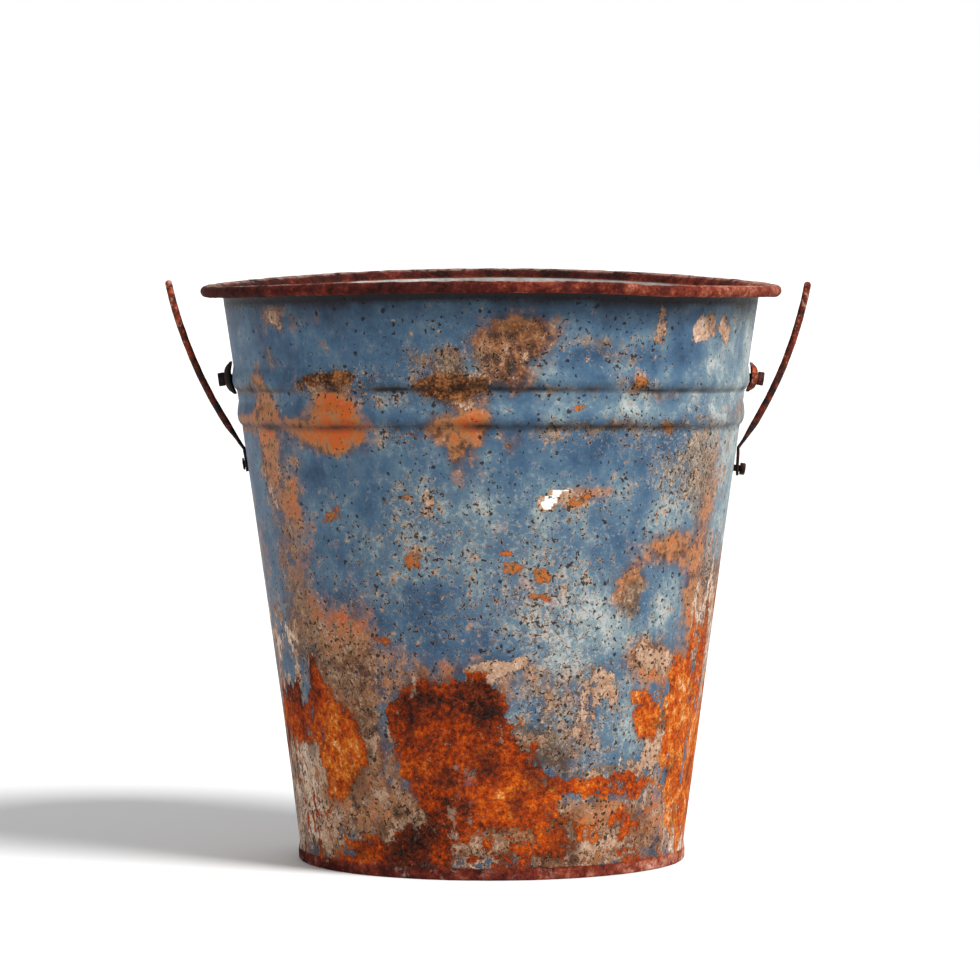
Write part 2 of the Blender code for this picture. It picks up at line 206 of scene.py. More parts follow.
def out_of_true(points):
    """The bent bucket: points rise with cos 2a by the saddle, and sink at a step in the rim."""
    x, y, z = np.moveaxis(np.asarray(points, float), -1, 0)
    angle = np.arctan2(y, x)
    level = z / BUCKET_HEIGHT
    past = np.degrees(angle) + 90 - KINK_AT
    step = np.clip((past + 4) / 8, 0, 1) * np.clip(1 - np.maximum(past, 0) / KINK_FADE, 0, 1) ** 2
    rise = -SADDLE * level * np.cos(2 * angle) - KINK * np.clip(level, 0, None) ** 12 * step
    return np.stack([x, y, z + rise], -1)


def foot_flare(height):
    """How far the body curves out to the foot seam: an S-curve over the last few millimetres."""
    return SEAM_PROUD * (1 - smooth(SEAM_HEIGHT - SEAM_FOLD, FOOT_FLARE_TOP, height))


def arc(centre, radius, start, end, count=240):
    """Points (out, up) on a circle, from the start angle to the end angle in degrees."""
    angle = np.radians(np.linspace(start, end, count))
    return np.stack([centre[0] + radius * np.cos(angle), centre[1] + radius * np.sin(angle)], -1)


def side(top, bottom, count=900):
    """Points (out, up) down the body's outside between two heights, ribs included."""
    height = np.linspace(top, bottom, count)
    out = body_radius(height) + rib_rise(height) + foot_flare(height)
    return np.stack([out, height], -1)


def field(points, size, seed):
    """Smooth random field from -1 to 1: a random number at each corner of a cubic lattice of
    that size, blended between the corners with an S-curve."""
    cell = np.asarray(points, float) / size + 17.3 * seed
    corner = np.floor(cell).astype(np.int64)
    part = cell - corner
    part = part * part * (3 - 2 * part)
    total = np.zeros(cell.shape[:-1])
    for step in np.ndindex(2, 2, 2):
        at = (corner + step).astype(np.uint64)
        mixed = at[..., 0] * 0x9E3779B1 ^ at[..., 1] * 0x85EBCA77 ^ at[..., 2] * 0xC2B2AE3D
        mixed = (mixed ^ (mixed >> np.uint64(15))) * np.uint64(0x2C1B3C6D)
        mixed = (mixed ^ (mixed >> np.uint64(12))) * np.uint64(0x297A2D39)
        value = ((mixed ^ (mixed >> np.uint64(15))) & np.uint64(0xFFFF)) / 65535.0
        weight = np.prod(np.where(step, part, 1 - part), axis=-1)
        total += weight * value
    return 2 * total - 1


def rough_field(points, size, seed, octaves=3):
    """Sum of fields, each half the size and half the height of the one before."""
    return sum(field(points, size / 2**k, seed + k) / 2**k for k in range(octaves))


def surface(name, points, close_rows, finish, masks=None, cap_ends=False):
    """Mesh of a grid of points: rows follow one parameter, columns go round and are closed.

    close_rows joins the last row to the first. cap_ends closes each end row with a point at
    its middle. Each mask is a number for each point, and becomes an attribute.
    """
    rows, columns = points.shape[:2]
    row = np.arange(rows if close_rows else rows - 1)[:, None]
    column = np.arange(columns)[None, :]
    after = (column + 1) % columns
    below = (row + 1) % rows
    quads = [row * columns + column, below * columns + column, below * columns + after]
    quads.append(row * columns + after)
    faces = np.stack(quads, -1).reshape(-1, 4).tolist()
    vertices = points.reshape(-1, 3)
    if cap_ends:
        first = rows * columns
        ring = np.arange(columns)
        around = (ring + 1) % columns
        end = (rows - 1) * columns
        vertices = np.concatenate([vertices, points[:1].mean(1), points[-1:].mean(1)])
        faces += np.stack([np.full(columns, first), ring, around], -1).tolist()
        faces += np.stack([np.full(columns, first + 1), end + around, end + ring], -1).tolist()
    mesh = bpy.data.meshes.new(name)
    mesh.from_pydata(vertices.tolist(), [], faces)
    mesh.materials.append(finish)
    for mask, values in (masks or {}).items():
        values = np.broadcast_to(values, points.shape[:2]).ravel()
        if cap_ends:
            values = np.append(values, [values[0], values[-1]])
        layer = mesh.attributes.new(mask, "FLOAT", "POINT")
        layer.data.foreach_set("value", values.astype(np.float32))
    mesh.shade_smooth()
    made = bpy.data.objects.new(name, mesh)
    scene.collection.objects.link(made)
    return made


def within(points, node):
    """Points held inside the box of a CAD node."""
    low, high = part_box(node)
    return np.clip(points, np.array(low), np.array(high))


# The sheet's outer face in sections from its edge in the curl to its edge in the foot seam,
# each with the rows that its outer and its inner face get. The inner face of the flare and
# the curl is what shows on top of the rim, so it gets more rows than the hidden side.
ribs_top = UPPER_RIB + RIB_WIDTH / 2
ribs_end = LOWER_RIB - RIB_WIDTH / 2
seam_out = FOOT_RADIUS + SEAM_PROUD
lip_out = LIP_RADIUS - SHEET
SECTIONS = [
    (arc((CURL_OUT, CURL_UP), CURL, 90 - CURL_TURN, 90), 10, 34),
    (arc((NECK_RADIUS + FLARE, NECK_HEIGHT), FLARE, 90, 180), 9, 12),
    (side(NECK_HEIGHT, ribs_top), 12, 6),
    (side(ribs_top, ribs_end), 34, 18),
    (side(ribs_end, FOOT_FLARE_TOP), 70, 26),
    (side(FOOT_FLARE_TOP, SEAM_HEIGHT - SEAM_FOLD), 6, 4),
    (np.linspace((seam_out, SEAM_HEIGHT - SEAM_FOLD), (seam_out, SEAM_FOLD), 240), 3, 2),
    (arc((seam_out - SEAM_FOLD, SEAM_FOLD), SEAM_FOLD, 0, -90), 7, 4),
    (arc((lip_out + SEAM_FOLD, SEAM_FOLD), SEAM_FOLD, -90, -180), 5, 4),
    (np.linspace((lip_out, SEAM_FOLD), (lip_out, LIP_HEIGHT), 240), 3, 3),
]
face = np.concatenate([points for points, _, _ in SECTIONS])
run = np.gradient(face, axis=0)
inward = np.stack([run[:, 1], -run[:, 0]], -1)
inward /= np.linalg.norm(inward, axis=1)[:, None] + 1e-12
starts = np.cumsum([0] + [len(points) for points, _, _ in SECTIONS])


def rows_of(which):
    """Places in the dense face where a row of the mesh goes, for the outer or inner face."""
    picked = []
    for section, start, end in zip(SECTIONS, starts, starts[1:]):
        picked.append(np.linspace(start, end, section[which], endpoint=False))
    return np.append(np.concatenate(picked), starts[-1] - 1).astype(int)


outer_rows = rows_of(1)
inner_rows = rows_of(2)[::-1]
loop = np.concatenate([face[outer_rows], face[inner_rows] + inward[inner_rows] * SHEET])
body_out = -np.concatenate([inward[outer_rows], inward[inner_rows]])
face_out = np.concatenate([-inward[outer_rows], inward[inner_rows]])
is_inner = np.concatenate([np.zeros(len(outer_rows)), np.ones(len(inner_rows))])[:, None]

COLUMNS = 400
seam_half = math.degrees(LOCK_SEAM / 2 / FOOT_RADIUS)
seam_columns = 180 + np.linspace(-1.7, 1.7, 33) * seam_half
even_columns = np.linspace(-180, 180, COLUMNS, endpoint=False) % 360
away = np.abs(even_columns - 180) > 1.8 * seam_half
turn = np.sort(np.concatenate([even_columns[away], seam_columns]))
turn = np.where(turn > 180, turn - 360, turn)  # degrees from the front towards +X
round_x, round_y = np.sin(np.radians(turn)), -np.cos(np.radians(turn))


def ring_points(out, up):
    """Points of rows at (out, up) carried round the bucket's axis."""
    level = np.broadcast_to(up[:, None], (len(up), len(turn)))
    return np.stack([out[:, None] * round_x, out[:, None] * round_y, level], -1)


plain = ring_points(loop[:, 0], loop[:, 1])
level = plain[..., 2]
angle = np.broadcast_to(turn, level.shape)
reach = np.hypot(plain[..., 0], plain[..., 1])
on_curl = smooth(CURL_OUT - 0.004, CURL_OUT - 0.0025, reach)
inside_rim = is_inner * smooth(BUCKET_HEIGHT - 0.0056, BUCKET_HEIGHT - 0.0040, level)
on_rim = np.maximum(on_curl, inside_rim)
on_foot = 1 - smooth(SEAM_HEIGHT - 0.001, SEAM_HEIGHT + 0.001, level)


def patches(rows, at_angle, at_height):
    """Soft patches joined: each is 1 at its middle, a half at its outline and 0 well outside.

    A row is (angle, height in mm, half its width in degrees, half its height in mm, strength).
    """
    left = np.ones(np.shape(at_angle))
    for middle, height, wide, tall, strength in rows:
        across = (at_angle - middle + 180) % 360 - 180
        away = np.hypot(across / wide, (at_height - height / MM) / (tall / MM))
        left = left * (1 - np.clip(strength * (1 - smooth(0.3, 1.7, away)), None, 0.995))
    return 1 - left


# Hard crusts of rust that have come through the paint: front and sides first, then the back.
RUST = [
    (-11, 60, 13, 34, 1.3), (-19, 80, 8, 18, 1.2), (2, 50, 12, 22, 1.2), (-4, 91, 6, 12, 1.1),
    (12, 43, 10, 10, 1), (34, 45, 16, 6, 0.85), (-20, 13, 12, 12, 0.8), (17, 22, 12, 13, 0.7),
    (-37, 12, 9, 9, 0.8), (-53, 100, 4, 14, 1), (-47, 64, 8, 26, 1.15), (-66, 80, 13, 14, 1),
    (45, 82, 5, 13, 1.1), (62, 80, 9, 34, 1.25), (74, 33, 15, 27, 0.85), (72, 104, 6, 30, 0.8),
    (42, 24, 12, 14, 0.55), (-38, 249.5, 7, 4, 0.85), (-8, 248, 8, 5, 0.85), (6, 276, 5, 4, 0.5),
    (23, 195, 3, 2, 0.75), (-22, 194, 3, 2, 0.7), (13, 152, 2.6, 3.5, 0.9),
    (12, 141, 3.4, 2.2, 0.85), (14, 128, 2, 2, 0.8), (6.5, 157, 2.2, 3.5, 0.85),
    (-1, 165, 5, 1.3, 0.75), (45, 232, 3, 3, 0.6), (20, 238, 2, 2, 0.6), (-18, 224, 2, 2, 0.6),
    (6, 219, 1.2, 6, 0.6), (-39, 182, 4, 3, 0.6), (34, 250, 2, 3, 0.7), (-20, 160, 2.2, 8, 0.6),
    (-28, 120, 3, 3, 0.6), (88, 70, 9, 40, 0.9), (84, 145, 6, 20, 0.6), (-88, 50, 12, 30, 0.6),
    (110, 55, 12, 40, 1.1), (128, 95, 7, 20, 0.9), (150, 40, 16, 26, 1), (178, 60, 9, 50, 1.1),
    (178, 140, 3, 60, 0.7), (-150, 35, 18, 22, 1), (-126, 75, 12, 34, 1.1),
    (-108, 30, 12, 22, 0.9), (140, 247, 7, 4, 0.7), (-140, 248, 8, 4, 0.7), (118, 200, 5, 7, 0.7),
    (-116, 160, 6, 10, 0.7), (-165, 190, 5, 8, 0.65), (160, 180, 5, 10, 0.65),
    (100, 252, 5, 6, 0.7),
]

# Tongues of paint that have held out in the rust.
TONGUES = [(34, 76, 7, 22, 1), (-31, 80, 4, 18, 0.9)]

# Where rust and stains are bright orange (up to 1) and where they are nearly black (to -1).
BRIGHT = [
    (12, 43, 12, 13, 0.45), (34, 45, 16, 9, 0.5), (-47, 64, 9, 28, 1.15), (46, 82, 8, 18, 0.95),
    (62, 72, 12, 44, 1.3), (76, 34, 18, 34, 1.2), (-37, 235, 6, 12, 0.95), (2, 50, 12, 16, 0.1),
    (20, 20, 14, 14, 0.45), (-36, 225, 9, 6, 0.9), (13, 145, 8, 22, 1.25), (22, 195, 6, 4, 0.9),
    (88, 80, 12, 70, 0.8), (-70, 72, 12, 12, 0.35), (110, 60, 10, 40, 0.6), (178, 70, 8, 50, 0.4),
    (-126, 70, 9, 26, 0.6), (150, 30, 12, 16, 0.5), (-60, 228, 6, 6, 0.6), (-86, 230, 10, 8, 0.5),
    (118, 196, 8, 14, 0.8), (-22, 155, 44, 34, 0.85), (140, 240, 6, 10, 0.8),
    (-140, 238, 6, 10, 0.7), (-6, 230, 5, 6, 0.25), (-40, 14, 8, 8, 0.4),
]
DARK = [
    (-4.5, 92, 6, 12, 1), (-20, 88, 9, 10, 0.6), (-21, 12, 13, 14, 0.8), (-40, 249, 8, 5, 1.2),
    (-8, 248, 10, 8, 1.2), (5, 258, 7, 9, 0.6), (6, 273, 9, 10, 0.4), (-14, 34, 9, 10, 0.35),
    (34, 250, 2, 3, 0.9), (-58, 112, 16, 14, 0.45), (10, 9, 30, 6, 0.5), (-150, 30, 14, 14, 0.7),
    (132, 100, 8, 18, 0.6), (178, 20, 12, 16, 0.6), (-140, 249, 9, 4, 0.9),
    (160, 182, 6, 10, 0.5), (-66, 92, 10, 8, 0.5), (36, 50, 10, 4, 0.4), (-38, 85, 6, 30, 0.5),
    (140, 250, 8, 4, 0.9), (36, 140, 3, 8, 0.7), (74, 150, 8, 12, 0.5),
]

# Rust that has run or soaked over the paint.
STAIN = [
    (-72, 230, 20, 5, 0.9), (-63, 226, 5.5, 26, 1.15), (-38, 234, 6, 14, 1.2),
    (-39, 224, 11, 9, 1.1), (-40, 249, 8, 4, 0.9), (-7, 229, 7, 12, 1.05), (-7, 248, 8, 6, 1.1),
    (-9, 258, 6, 8, 0.6), (-7, 212, 4, 12, 0.45), (49, 165, 10, 8, 0.9), (36, 148, 4, 14, 0.9),
    (-57, 170, 9, 45, 0.55), (-46, 118, 17, 20, 0.9), (46, 111, 9, 11, 1), (-38, 75, 8, 38, 0.9),
    (-55, 190, 4, 12, 0.7), (72, 130, 12, 36, 0.8), (6, 273, 9, 10, 1.05), (5, 258, 6, 10, 0.9),
    (22, 195, 6, 4, 0.7), (-8, 100, 24, 10, 0.5), (-14, 24, 26, 16, 0.9), (30, 24, 26, 16, 0.75),
    (-53, 283, 8, 6, 0.5), (-60, 40, 18, 38, 0.9), (12, 140, 6, 16, 0.35),
    (-86, 120, 14, 70, 0.5), (78, 236, 14, 6, 0.5), (64, 200, 6, 24, 0.6), (6, 219, 2, 8, 0.6),
    (62, 150, 6, 50, 0.6), (45, 232, 3, 4, 0.6), (34, 250, 2, 6, 0.6), (98, 150, 12, 90, 0.6),
    (140, 236, 7, 14, 1), (178, 180, 8, 100, 0.6), (-140, 238, 7, 14, 1),
    (-126, 120, 14, 30, 0.7), (150, 70, 20, 18, 0.7), (-150, 60, 22, 18, 0.7),
    (118, 186, 5, 22, 0.8), (-165, 170, 5, 24, 0.7), (-116, 150, 5, 20, 0.8),
    (160, 168, 5, 20, 0.7), (100, 240, 6, 16, 0.7),
]

# Brown and olive grime.
GRIME = [
    (-10, 258, 9, 9, 0.7), (26, 268, 5, 7, 0.6), (36, 262, 10, 5, 0.3), (58, 205, 7, 28, 0.6),
    (74, 151, 7, 12, 0.9), (-39, 78, 8, 36, 0.35), (-48, 120, 16, 22, 0.35),
    (-13, 22, 22, 10, 0.8), (37, 140, 4, 12, 0.8), (12, 64, 9, 14, 0.8), (35, 52, 10, 3, 0.8),
    (50, 206, 12, 18, 0.5), (-57, 264, 4, 7, 0.6), (2, 268, 14, 14, 0.15), (-58, 150, 9, 44, 0.5),
    (24, 86, 12, 14, 0.5), (-72, 246, 20, 3, 0.7), (30, 247, 24, 2, 0.5), (30, 229, 30, 2, 0.5),
    (20, 225, 20, 6, 0.4), (-70, 50, 16, 24, 0.5), (104, 220, 8, 30, 0.7),
    (-104, 200, 8, 40, 0.7), (170, 120, 14, 40, 0.5), (-132, 190, 9, 30, 0.6),
    (140, 248, 16, 3, 0.6), (-140, 248, 16, 3, 0.6),
]

# Cream primer and chalky scale, bared where the paint has flaked.
PRIMER = [
    (38.5, 280.5, 3.0, 10.5, 0.92), (51.5, 278, 4.2, 8.5, 0.93), (60, 277, 5.0, 10, 0.92),
    (-53.5, 281, 3.0, 4, 0.92), (-64, 122, 4, 10, 0.7), (-68, 36, 14, 28, 0.9),
    (-80, 36, 9, 32, 0.9), (-31, 78, 3.5, 18, 0.5), (3, 106, 8, 5, 0.8), (-3, 74, 6, 6, 0.4),
    (-20, 163, 1.5, 6, 0.7), (-16, 189, 2, 11, 0.55), (57.5, 68, 3, 12, 0.8),
    (75, 64, 5, 10, 0.85), (50, 66, 5, 12, 0.6), (-55, 22, 6, 12, 0.7), (20, 194, 4, 3, 0.8),
    (76, 125, 10, 36, 0.75), (30, 100, 9, 12, 0.45), (22, 80, 14, 22, 0.45),
    (46, 111, 7, 8, 0.75), (-6.5, 240, 3, 3, 0.5), (34, 16, 12, 8, 0.5), (68, 212, 12, 30, 0.35),
    (-78, 110, 8, 30, 0.5), (70, 22, 13, 18, 0.88), (82, 70, 5, 40, 0.8), (38, 154, 3, 7, 0.6),
    (10, 262, 4, 3, 0.5), (-62, 200, 4, 20, 0.35), (-10, 20, 16, 6, 0.4), (94, 100, 8, 30, 0.7),
    (122, 120, 8, 12, 0.7), (150, 72, 14, 8, 0.7), (-148, 64, 14, 8, 0.7), (-128, 114, 9, 8, 0.8),
    (110, 262, 4, 6, 0.92), (-120, 255, 5, 6, 0.92), (166, 262, 4, 5, 0.9),
    (-158, 215, 3, 8, 0.7),
]

# One flake down to bright new primer.
WHITE = [(13.6, 189.7, 2.3, 4.2, 1.5), (15.2, 193.5, 2.2, 4, 1.5), (17.6, 195.8, 2.0, 1.8, 1.5)]

# Chalky, faded paint.
FADED = [
    (74, 230, 20, 70, 0.8), (40, 120, 18, 34, 0.45), (20, 125, 14, 22, 0.75),
    (48, 190, 14, 20, 0.35), (6, 175, 20, 34, 0.4), (16, 78, 15, 28, 0.5), (30, 240, 20, 10, 0.3),
    (-24, 180, 14, 40, 0.3), (50, 142, 6, 14, 0.3), (95, 210, 20, 60, 0.7),
    (150, 150, 20, 50, 0.5), (-100, 150, 14, 60, 0.4), (-150, 130, 18, 40, 0.5),
    (36, 72, 6, 24, 0.4), (40, 14, 8, 9, 0.7), (34, 238, 60, 4, 0.35), (34, 256, 60, 4, 0.3),
    (-70, 52, 6, 10, 0.4),
]

# Pocked and crazed paint.
POCKED = [
    (0, 150, 50, 50, 0.55), (-36, 248, 12, 7, 1), (-8, 256, 12, 16, 0.9), (34, 250, 5, 6, 0.9),
    (28, 266, 12, 8, 0.6), (-26, 240, 8, 4, 0.9), (50, 205, 14, 22, 0.8), (72, 150, 10, 20, 0.9),
    (-46, 110, 20, 30, 0.9), (-40, 70, 12, 40, 0.8), (20, 80, 20, 30, 0.8), (46, 111, 9, 12, 0.9),
    (-14, 20, 60, 22, 0.8), (13, 142, 8, 22, 0.8), (-18, 185, 6, 18, 0.8), (22, 193, 8, 6, 0.8),
    (-20, 224, 6, 5, 0.8), (30, 225, 30, 10, 0.6), (46, 232, 6, 4, 0.9), (6, 272, 10, 10, 0.7),
    (-58, 180, 10, 50, 0.5), (150, 100, 40, 60, 0.7), (-140, 120, 40, 60, 0.7),
    (140, 244, 14, 8, 0.9), (-140, 246, 14, 8, 0.9), (104, 200, 14, 50, 0.6),
]


def rough(size, seed, octaves=3):
    """Rough random field over the whole sheet."""
    return rough_field(plain, size, seed, octaves)


# The patches' outlines are pushed about by random fields, so that none stays an oval.
wander = 2.6 * rough(0.022, 1) + 0.9 * rough(0.006, 4, 2)
climb = 0.0042 * rough(0.024, 8) + 0.0015 * rough(0.006, 11, 2)
warped = (angle + wander, level + climb)
painted = (1 - is_inner) * (1 - on_rim) * (1 - on_foot)
low_down = 1 - smooth(0.010, 0.060, level)
tongue = patches(TONGUES, *warped)
rust = patches(RUST, *warped) * (1 - 0.8 * tongue)
rust = np.maximum(rust, 0.40 * low_down * (1 + 0.8 * field(plain, 0.02, 21))) * painted
lower = smooth(0.135, 0.055, level) * (1 - smooth(0.3, 0.9, rust)) * (1 - 0.7 * tongue)
bare_edge = np.maximum(on_rim, on_foot)
tone = patches(BRIGHT, *warped) - patches(DARK, *warped)
to_right = smooth(-50, 70, angle) * smooth(160, 90, angle)
edge_tone = -1.05 + 1.25 * to_right + 0.55 * on_foot + 0.35 * rough(0.020, 27)
tone = tone * (1 - bare_edge) + edge_tone * bare_edge + 0.26 * rough(0.018, 31)
water_mark = 0.45 * smooth(0.008, 0, np.abs(level - 0.118 - 0.003 * rough(0.03, 37)))
lined = 0.55 * smooth(BUCKET_HEIGHT - 0.004, BUCKET_HEIGHT - 0.060, level) - 0.25
lined = lined + 0.75 * smooth(0.11, 0.0, level) + 0.40 * rough(0.045, 35) + water_mark
rust = rust + lined * is_inner * (1 - bare_edge) + 1.3 * bare_edge
# Painted shade: a dark line in the crease at the foot of each rib, a band of painted shade on the
# lower flank of each rib above it, and a band of painted shade under the rim with a ragged lower
# edge.
rib_feet = [middle - RIB_WIDTH / 2 + 0.0006 for middle in (UPPER_RIB, LOWER_RIB)]
crease = sum(smooth(0.0016, 0.0002, np.abs(level - foot)) for foot in rib_feet)
under = sum(0.55 * smooth(foot + 0.0055, foot + 0.0008, level) * smooth(foot - 0.0012, foot, level)
            for foot in rib_feet)
rim_shade_ragging = 0.006 * rough_field(plain * (1, 1, 0.2), 0.010, 61)
under_rim_shade = 0.35 * smooth(NECK_HEIGHT - 0.018 + rim_shade_ragging, NECK_HEIGHT - 0.004 + 0.6 * rim_shade_ragging, level)
under_rim_shade = under_rim_shade + 0.62 * smooth(NECK_HEIGHT - 0.0045 + 0.5 * rim_shade_ragging, NECK_HEIGHT - 0.0005, level)
shade = np.clip(0.70 * crease + under, 0, 1) * (0.60 + 0.50 * rough(0.012, 65))
# Painted highlight: where the rim's faces point up they are made pale, as if lit from above.
crest = on_rim * smooth(0.86, 1.0, face_out[:, 1:] + 0.05 * rough(0.008, 69))
bared = patches(PRIMER, *warped) + lower * (0.20 + 0.45 * rough(0.018, 59))
bared = np.minimum(bared, 0.92)
streaky = smooth(50, 66, np.abs(angle)) * smooth(0.19, 0.13, level)
smudge = 0.55 * smooth(0.10, 0.9, rough(0.013, 67)) * smooth(0.125, 0.060, level)
# Pale painted highlight flecks on the foot bead.
crest = np.maximum(crest, 0.8 * on_foot * smooth(0.1, 0.9, rough(0.005, 63)))
masks = {
    "rust": rust,
    "tone": tone,
    "stain": patches(STAIN, *warped) + lower * (0.30 + 0.45 * rough(0.028, 55)),
    "grime": patches(GRIME, *warped) + lower * (0.22 + 0.45 * rough(0.024, 57)),
    "primer": np.maximum(bared, patches(WHITE, angle + 0.4 * wander, level)) * painted,
    "streaky": streaky * painted,
    "faded": patches(FADED, *warped),
    "pocked": np.maximum(patches(POCKED, *warped), 0.8 * np.maximum(lower, smooth(0.2, 0.8, rust))),
    "bare_edge": bare_edge,
    "crest": crest,
    # The shade mask holds the painted shade of the ribs and the rim, and the dirt smudges low down.
    "shade": np.clip(np.maximum(shade, under_rim_shade) + smudge, 0, 1) * painted,
    "inner": is_inner * (1 - bare_edge),
}

# Relief: slow dents of the whole sheet, a crust where rust is, a gnawed rim and foot, and the
# locked seam, which stands out of the sheet at the back.
crust = smooth(0.35, 0.8, rust) * painted
dents = 0.00035 * rough(0.075, 41, 2) * smooth(0.010, 0.06, level) * (1 - on_rim)
pocks = 0.00014 * crust * rough(0.006, 45, 2)
gnawed = 0.00022 * bare_edge * (rough(0.006, 51, 3) - 0.7)
from_back = np.radians(180 - np.abs(angle)) * np.hypot(plain[..., 0], plain[..., 1])
lock = LOCK_PROUD * smooth(LOCK_SEAM / 2, LOCK_SEAM / 2 - LOCK_EDGE, from_back)
lock = lock * painted * smooth(SEAM_HEIGHT, 2 * SEAM_HEIGHT, level)
whole = ring_points(body_out[:, 0], body_out[:, 1])
skin = ring_points(face_out[:, 0], face_out[:, 1])
moved = plain + whole * dents[..., None] + skin * (pocks + gnawed + lock)[..., None]
wall_points = within(out_of_true(moved), "bucket_wall")


class Wire:
    """A socket's output in a finish. Sums, products and so on of wires add Math nodes."""

    def __init__(self, finish, socket):
        self.finish = finish
        self.socket = socket

    def math(self, operation, first, second):
        sockets = {0: first, 1: second}
        return self.finish.node("ShaderNodeMath", {"operation": operation}, sockets)

    def __add__(self, other):
        return self.math("ADD", self, other)

    def __radd__(self, other):
        return self.math("ADD", other, self)

    def __sub__(self, other):
        return self.math("SUBTRACT", self, other)

    def __rsub__(self, other):
        return self.math("SUBTRACT", other, self)

    def __mul__(self, other):
        return self.math("MULTIPLY", self, other)

    def __rmul__(self, other):
        return self.math("MULTIPLY", other, self)

    def over(self, other):
        """The larger of the two."""
        return self.math("MAXIMUM", self, other)

    def under(self, other):
        """The smaller of the two."""
        return self.math("MINIMUM", self, other)


class Finish:
    """A material that is put together from nodes, with its Principled shader."""

    def __init__(self, name):
        self.material = bpy.data.materials.new(name)
        self.material.use_nodes = True
        self.tree = self.material.node_tree
        self.shader = self.tree.nodes["Principled BSDF"]
        self.place = self.node("ShaderNodeTexCoord", {}, {}, "Object")

    def feed(self, socket, value):
        if isinstance(value, Wire):
            self.tree.links.new(value.socket, socket)
        elif isinstance(value, tuple) and socket.type == "RGBA":
            socket.default_value = (*value, 1)
        else:
            socket.default_value = value

    def node(self, kind, settings, sockets, output=0):
        """A node of any kind: its settings first, then the values or wires of its sockets."""
        made = self.tree.nodes.new(kind)
        for name, value in settings.items():
            if name == "stops":
                ramp = made.color_ramp
                while len(ramp.elements) < len(value):
                    ramp.elements.new(0.5)
                for element, (place, colour) in zip(ramp.elements, value):
                    element.position = place
                    element.color = (*colour, 1)
            else:
                setattr(made, name, value)
        for name, value in sockets.items():
            self.feed(made.inputs[name], value)
        return Wire(self, made.outputs[output])

    def set(self, **sockets):
        """Feeds the Principled shader."""
        for name, value in sockets.items():
            self.feed(self.shader.inputs[name.replace("_", " ")], value)

    def bump(self, height):
        """Normal of a relief whose height is in metres."""
        sockets = {"Strength": 1.0, "Distance": 1.0, "Height": height}
        return self.node("ShaderNodeBump", {}, sockets)

    def mask(self, name):
        return self.node("ShaderNodeAttribute", {"attribute_name": name}, {}, "Fac")

    def stretched(self, scale):
        return self.node("ShaderNodeMapping", {}, {"Vector": self.place, "Scale": scale})

    def noise(self, size, detail=4.0, roughness=0.6, place=None, output=0):
        """Random pattern about 0.5 with features of that size in metres."""
        sockets = {"Vector": place or self.place, "Scale": 1 / size, "Detail": detail}
        sockets["Roughness"] = roughness
        return self.node("ShaderNodeTexNoise", {}, sockets, output)

    def step(self, value, low, high):
        """Smooth step of a wire from 0 at low to 1 at high."""
        sockets = {"Value": value, "From Min": low, "From Max": high}
        return self.node("ShaderNodeMapRange", {"interpolation_type": "SMOOTHSTEP"}, sockets)

    def mix(self, share, first, second, how="MIX"):
        settings = {"data_type": "RGBA", "blend_type": how}
        return self.node("ShaderNodeMix", settings, {0: share, 6: first, 7: second}, 2)

    def ramp(self, value, stops):
        return self.node("ShaderNodeValToRGB", {"stops": stops}, {"Fac": value})

    def ragged_cells(self, size, grain, detail, push):
        """Sockets of a cell pattern that noise pushes out of shape, by shares of the size."""
        ragged = self.noise(size * grain, detail, output="Color")
        sockets = {0: ragged, 1: (size * push,) * 3, 2: self.place}
        place = self.node("ShaderNodeVectorMath", {"operation": "MULTIPLY_ADD"}, sockets)
        return {"Vector": place, "Scale": 1 / size, "Randomness": 1.0}

    def spots(self, size, reach, share):
        """Ragged round spots, one in each cell of that size, in a share of the cells."""
        cells = self.ragged_cells(size, 0.5, 2.0, 0.5)
        distance = self.node("ShaderNodeTexVoronoi", {}, cells, "Distance")
        colour = self.node("ShaderNodeTexVoronoi", {}, cells, "Color")
        pick = self.node("ShaderNodeSeparateColor", {}, {"Color": colour}, "Red")
        size_pick = self.node("ShaderNodeSeparateColor", {}, {"Color": colour}, "Green")
        chosen = self.step(share - pick, 0.0, 0.02)
        radius = (size_pick * 0.6 + 0.4) * reach
        return self.step(radius - distance, -0.04, 0.05) * chosen

    def cracks(self, size, width):
        """Thin lines between ragged cells of that size. Width is a share of the size."""
        cells = self.ragged_cells(size, 0.6, 3.0, 0.9)
        settings = {"feature": "DISTANCE_TO_EDGE"}
        distance = self.node("ShaderNodeTexVoronoi", settings, cells, "Distance")
        return 1 - self.step(distance, width * 0.4, width)


RUST_STOPS = [
    (0.00, (0.005, 0.003, 0.002)),
    (0.16, (0.026, 0.006, 0.003)),
    (0.34, (0.110, 0.014, 0.003)),
    (0.50, (0.250, 0.028, 0.002)),
    (0.64, (0.400, 0.052, 0.002)),
    (0.78, (0.520, 0.112, 0.006)),
    (0.90, (0.600, 0.220, 0.035)),
    (1.00, (0.650, 0.400, 0.240)),
]
RIM_STOPS = [
    (0.10, (0.014, 0.004, 0.003)),
    (0.38, (0.070, 0.010, 0.007)),
    (0.58, (0.180, 0.031, 0.015)),
    (0.75, (0.330, 0.110, 0.065)),
    (0.95, (0.580, 0.360, 0.290)),
]
SOAK_STOPS = [
    (0.00, (0.026, 0.013, 0.007)),
    (0.20, (0.100, 0.034, 0.013)),
    (0.38, (0.200, 0.072, 0.022)),
    (0.58, (0.350, 0.152, 0.058)),
    (0.76, (0.440, 0.105, 0.014)),
    (1.00, (0.500, 0.080, 0.004)),
]
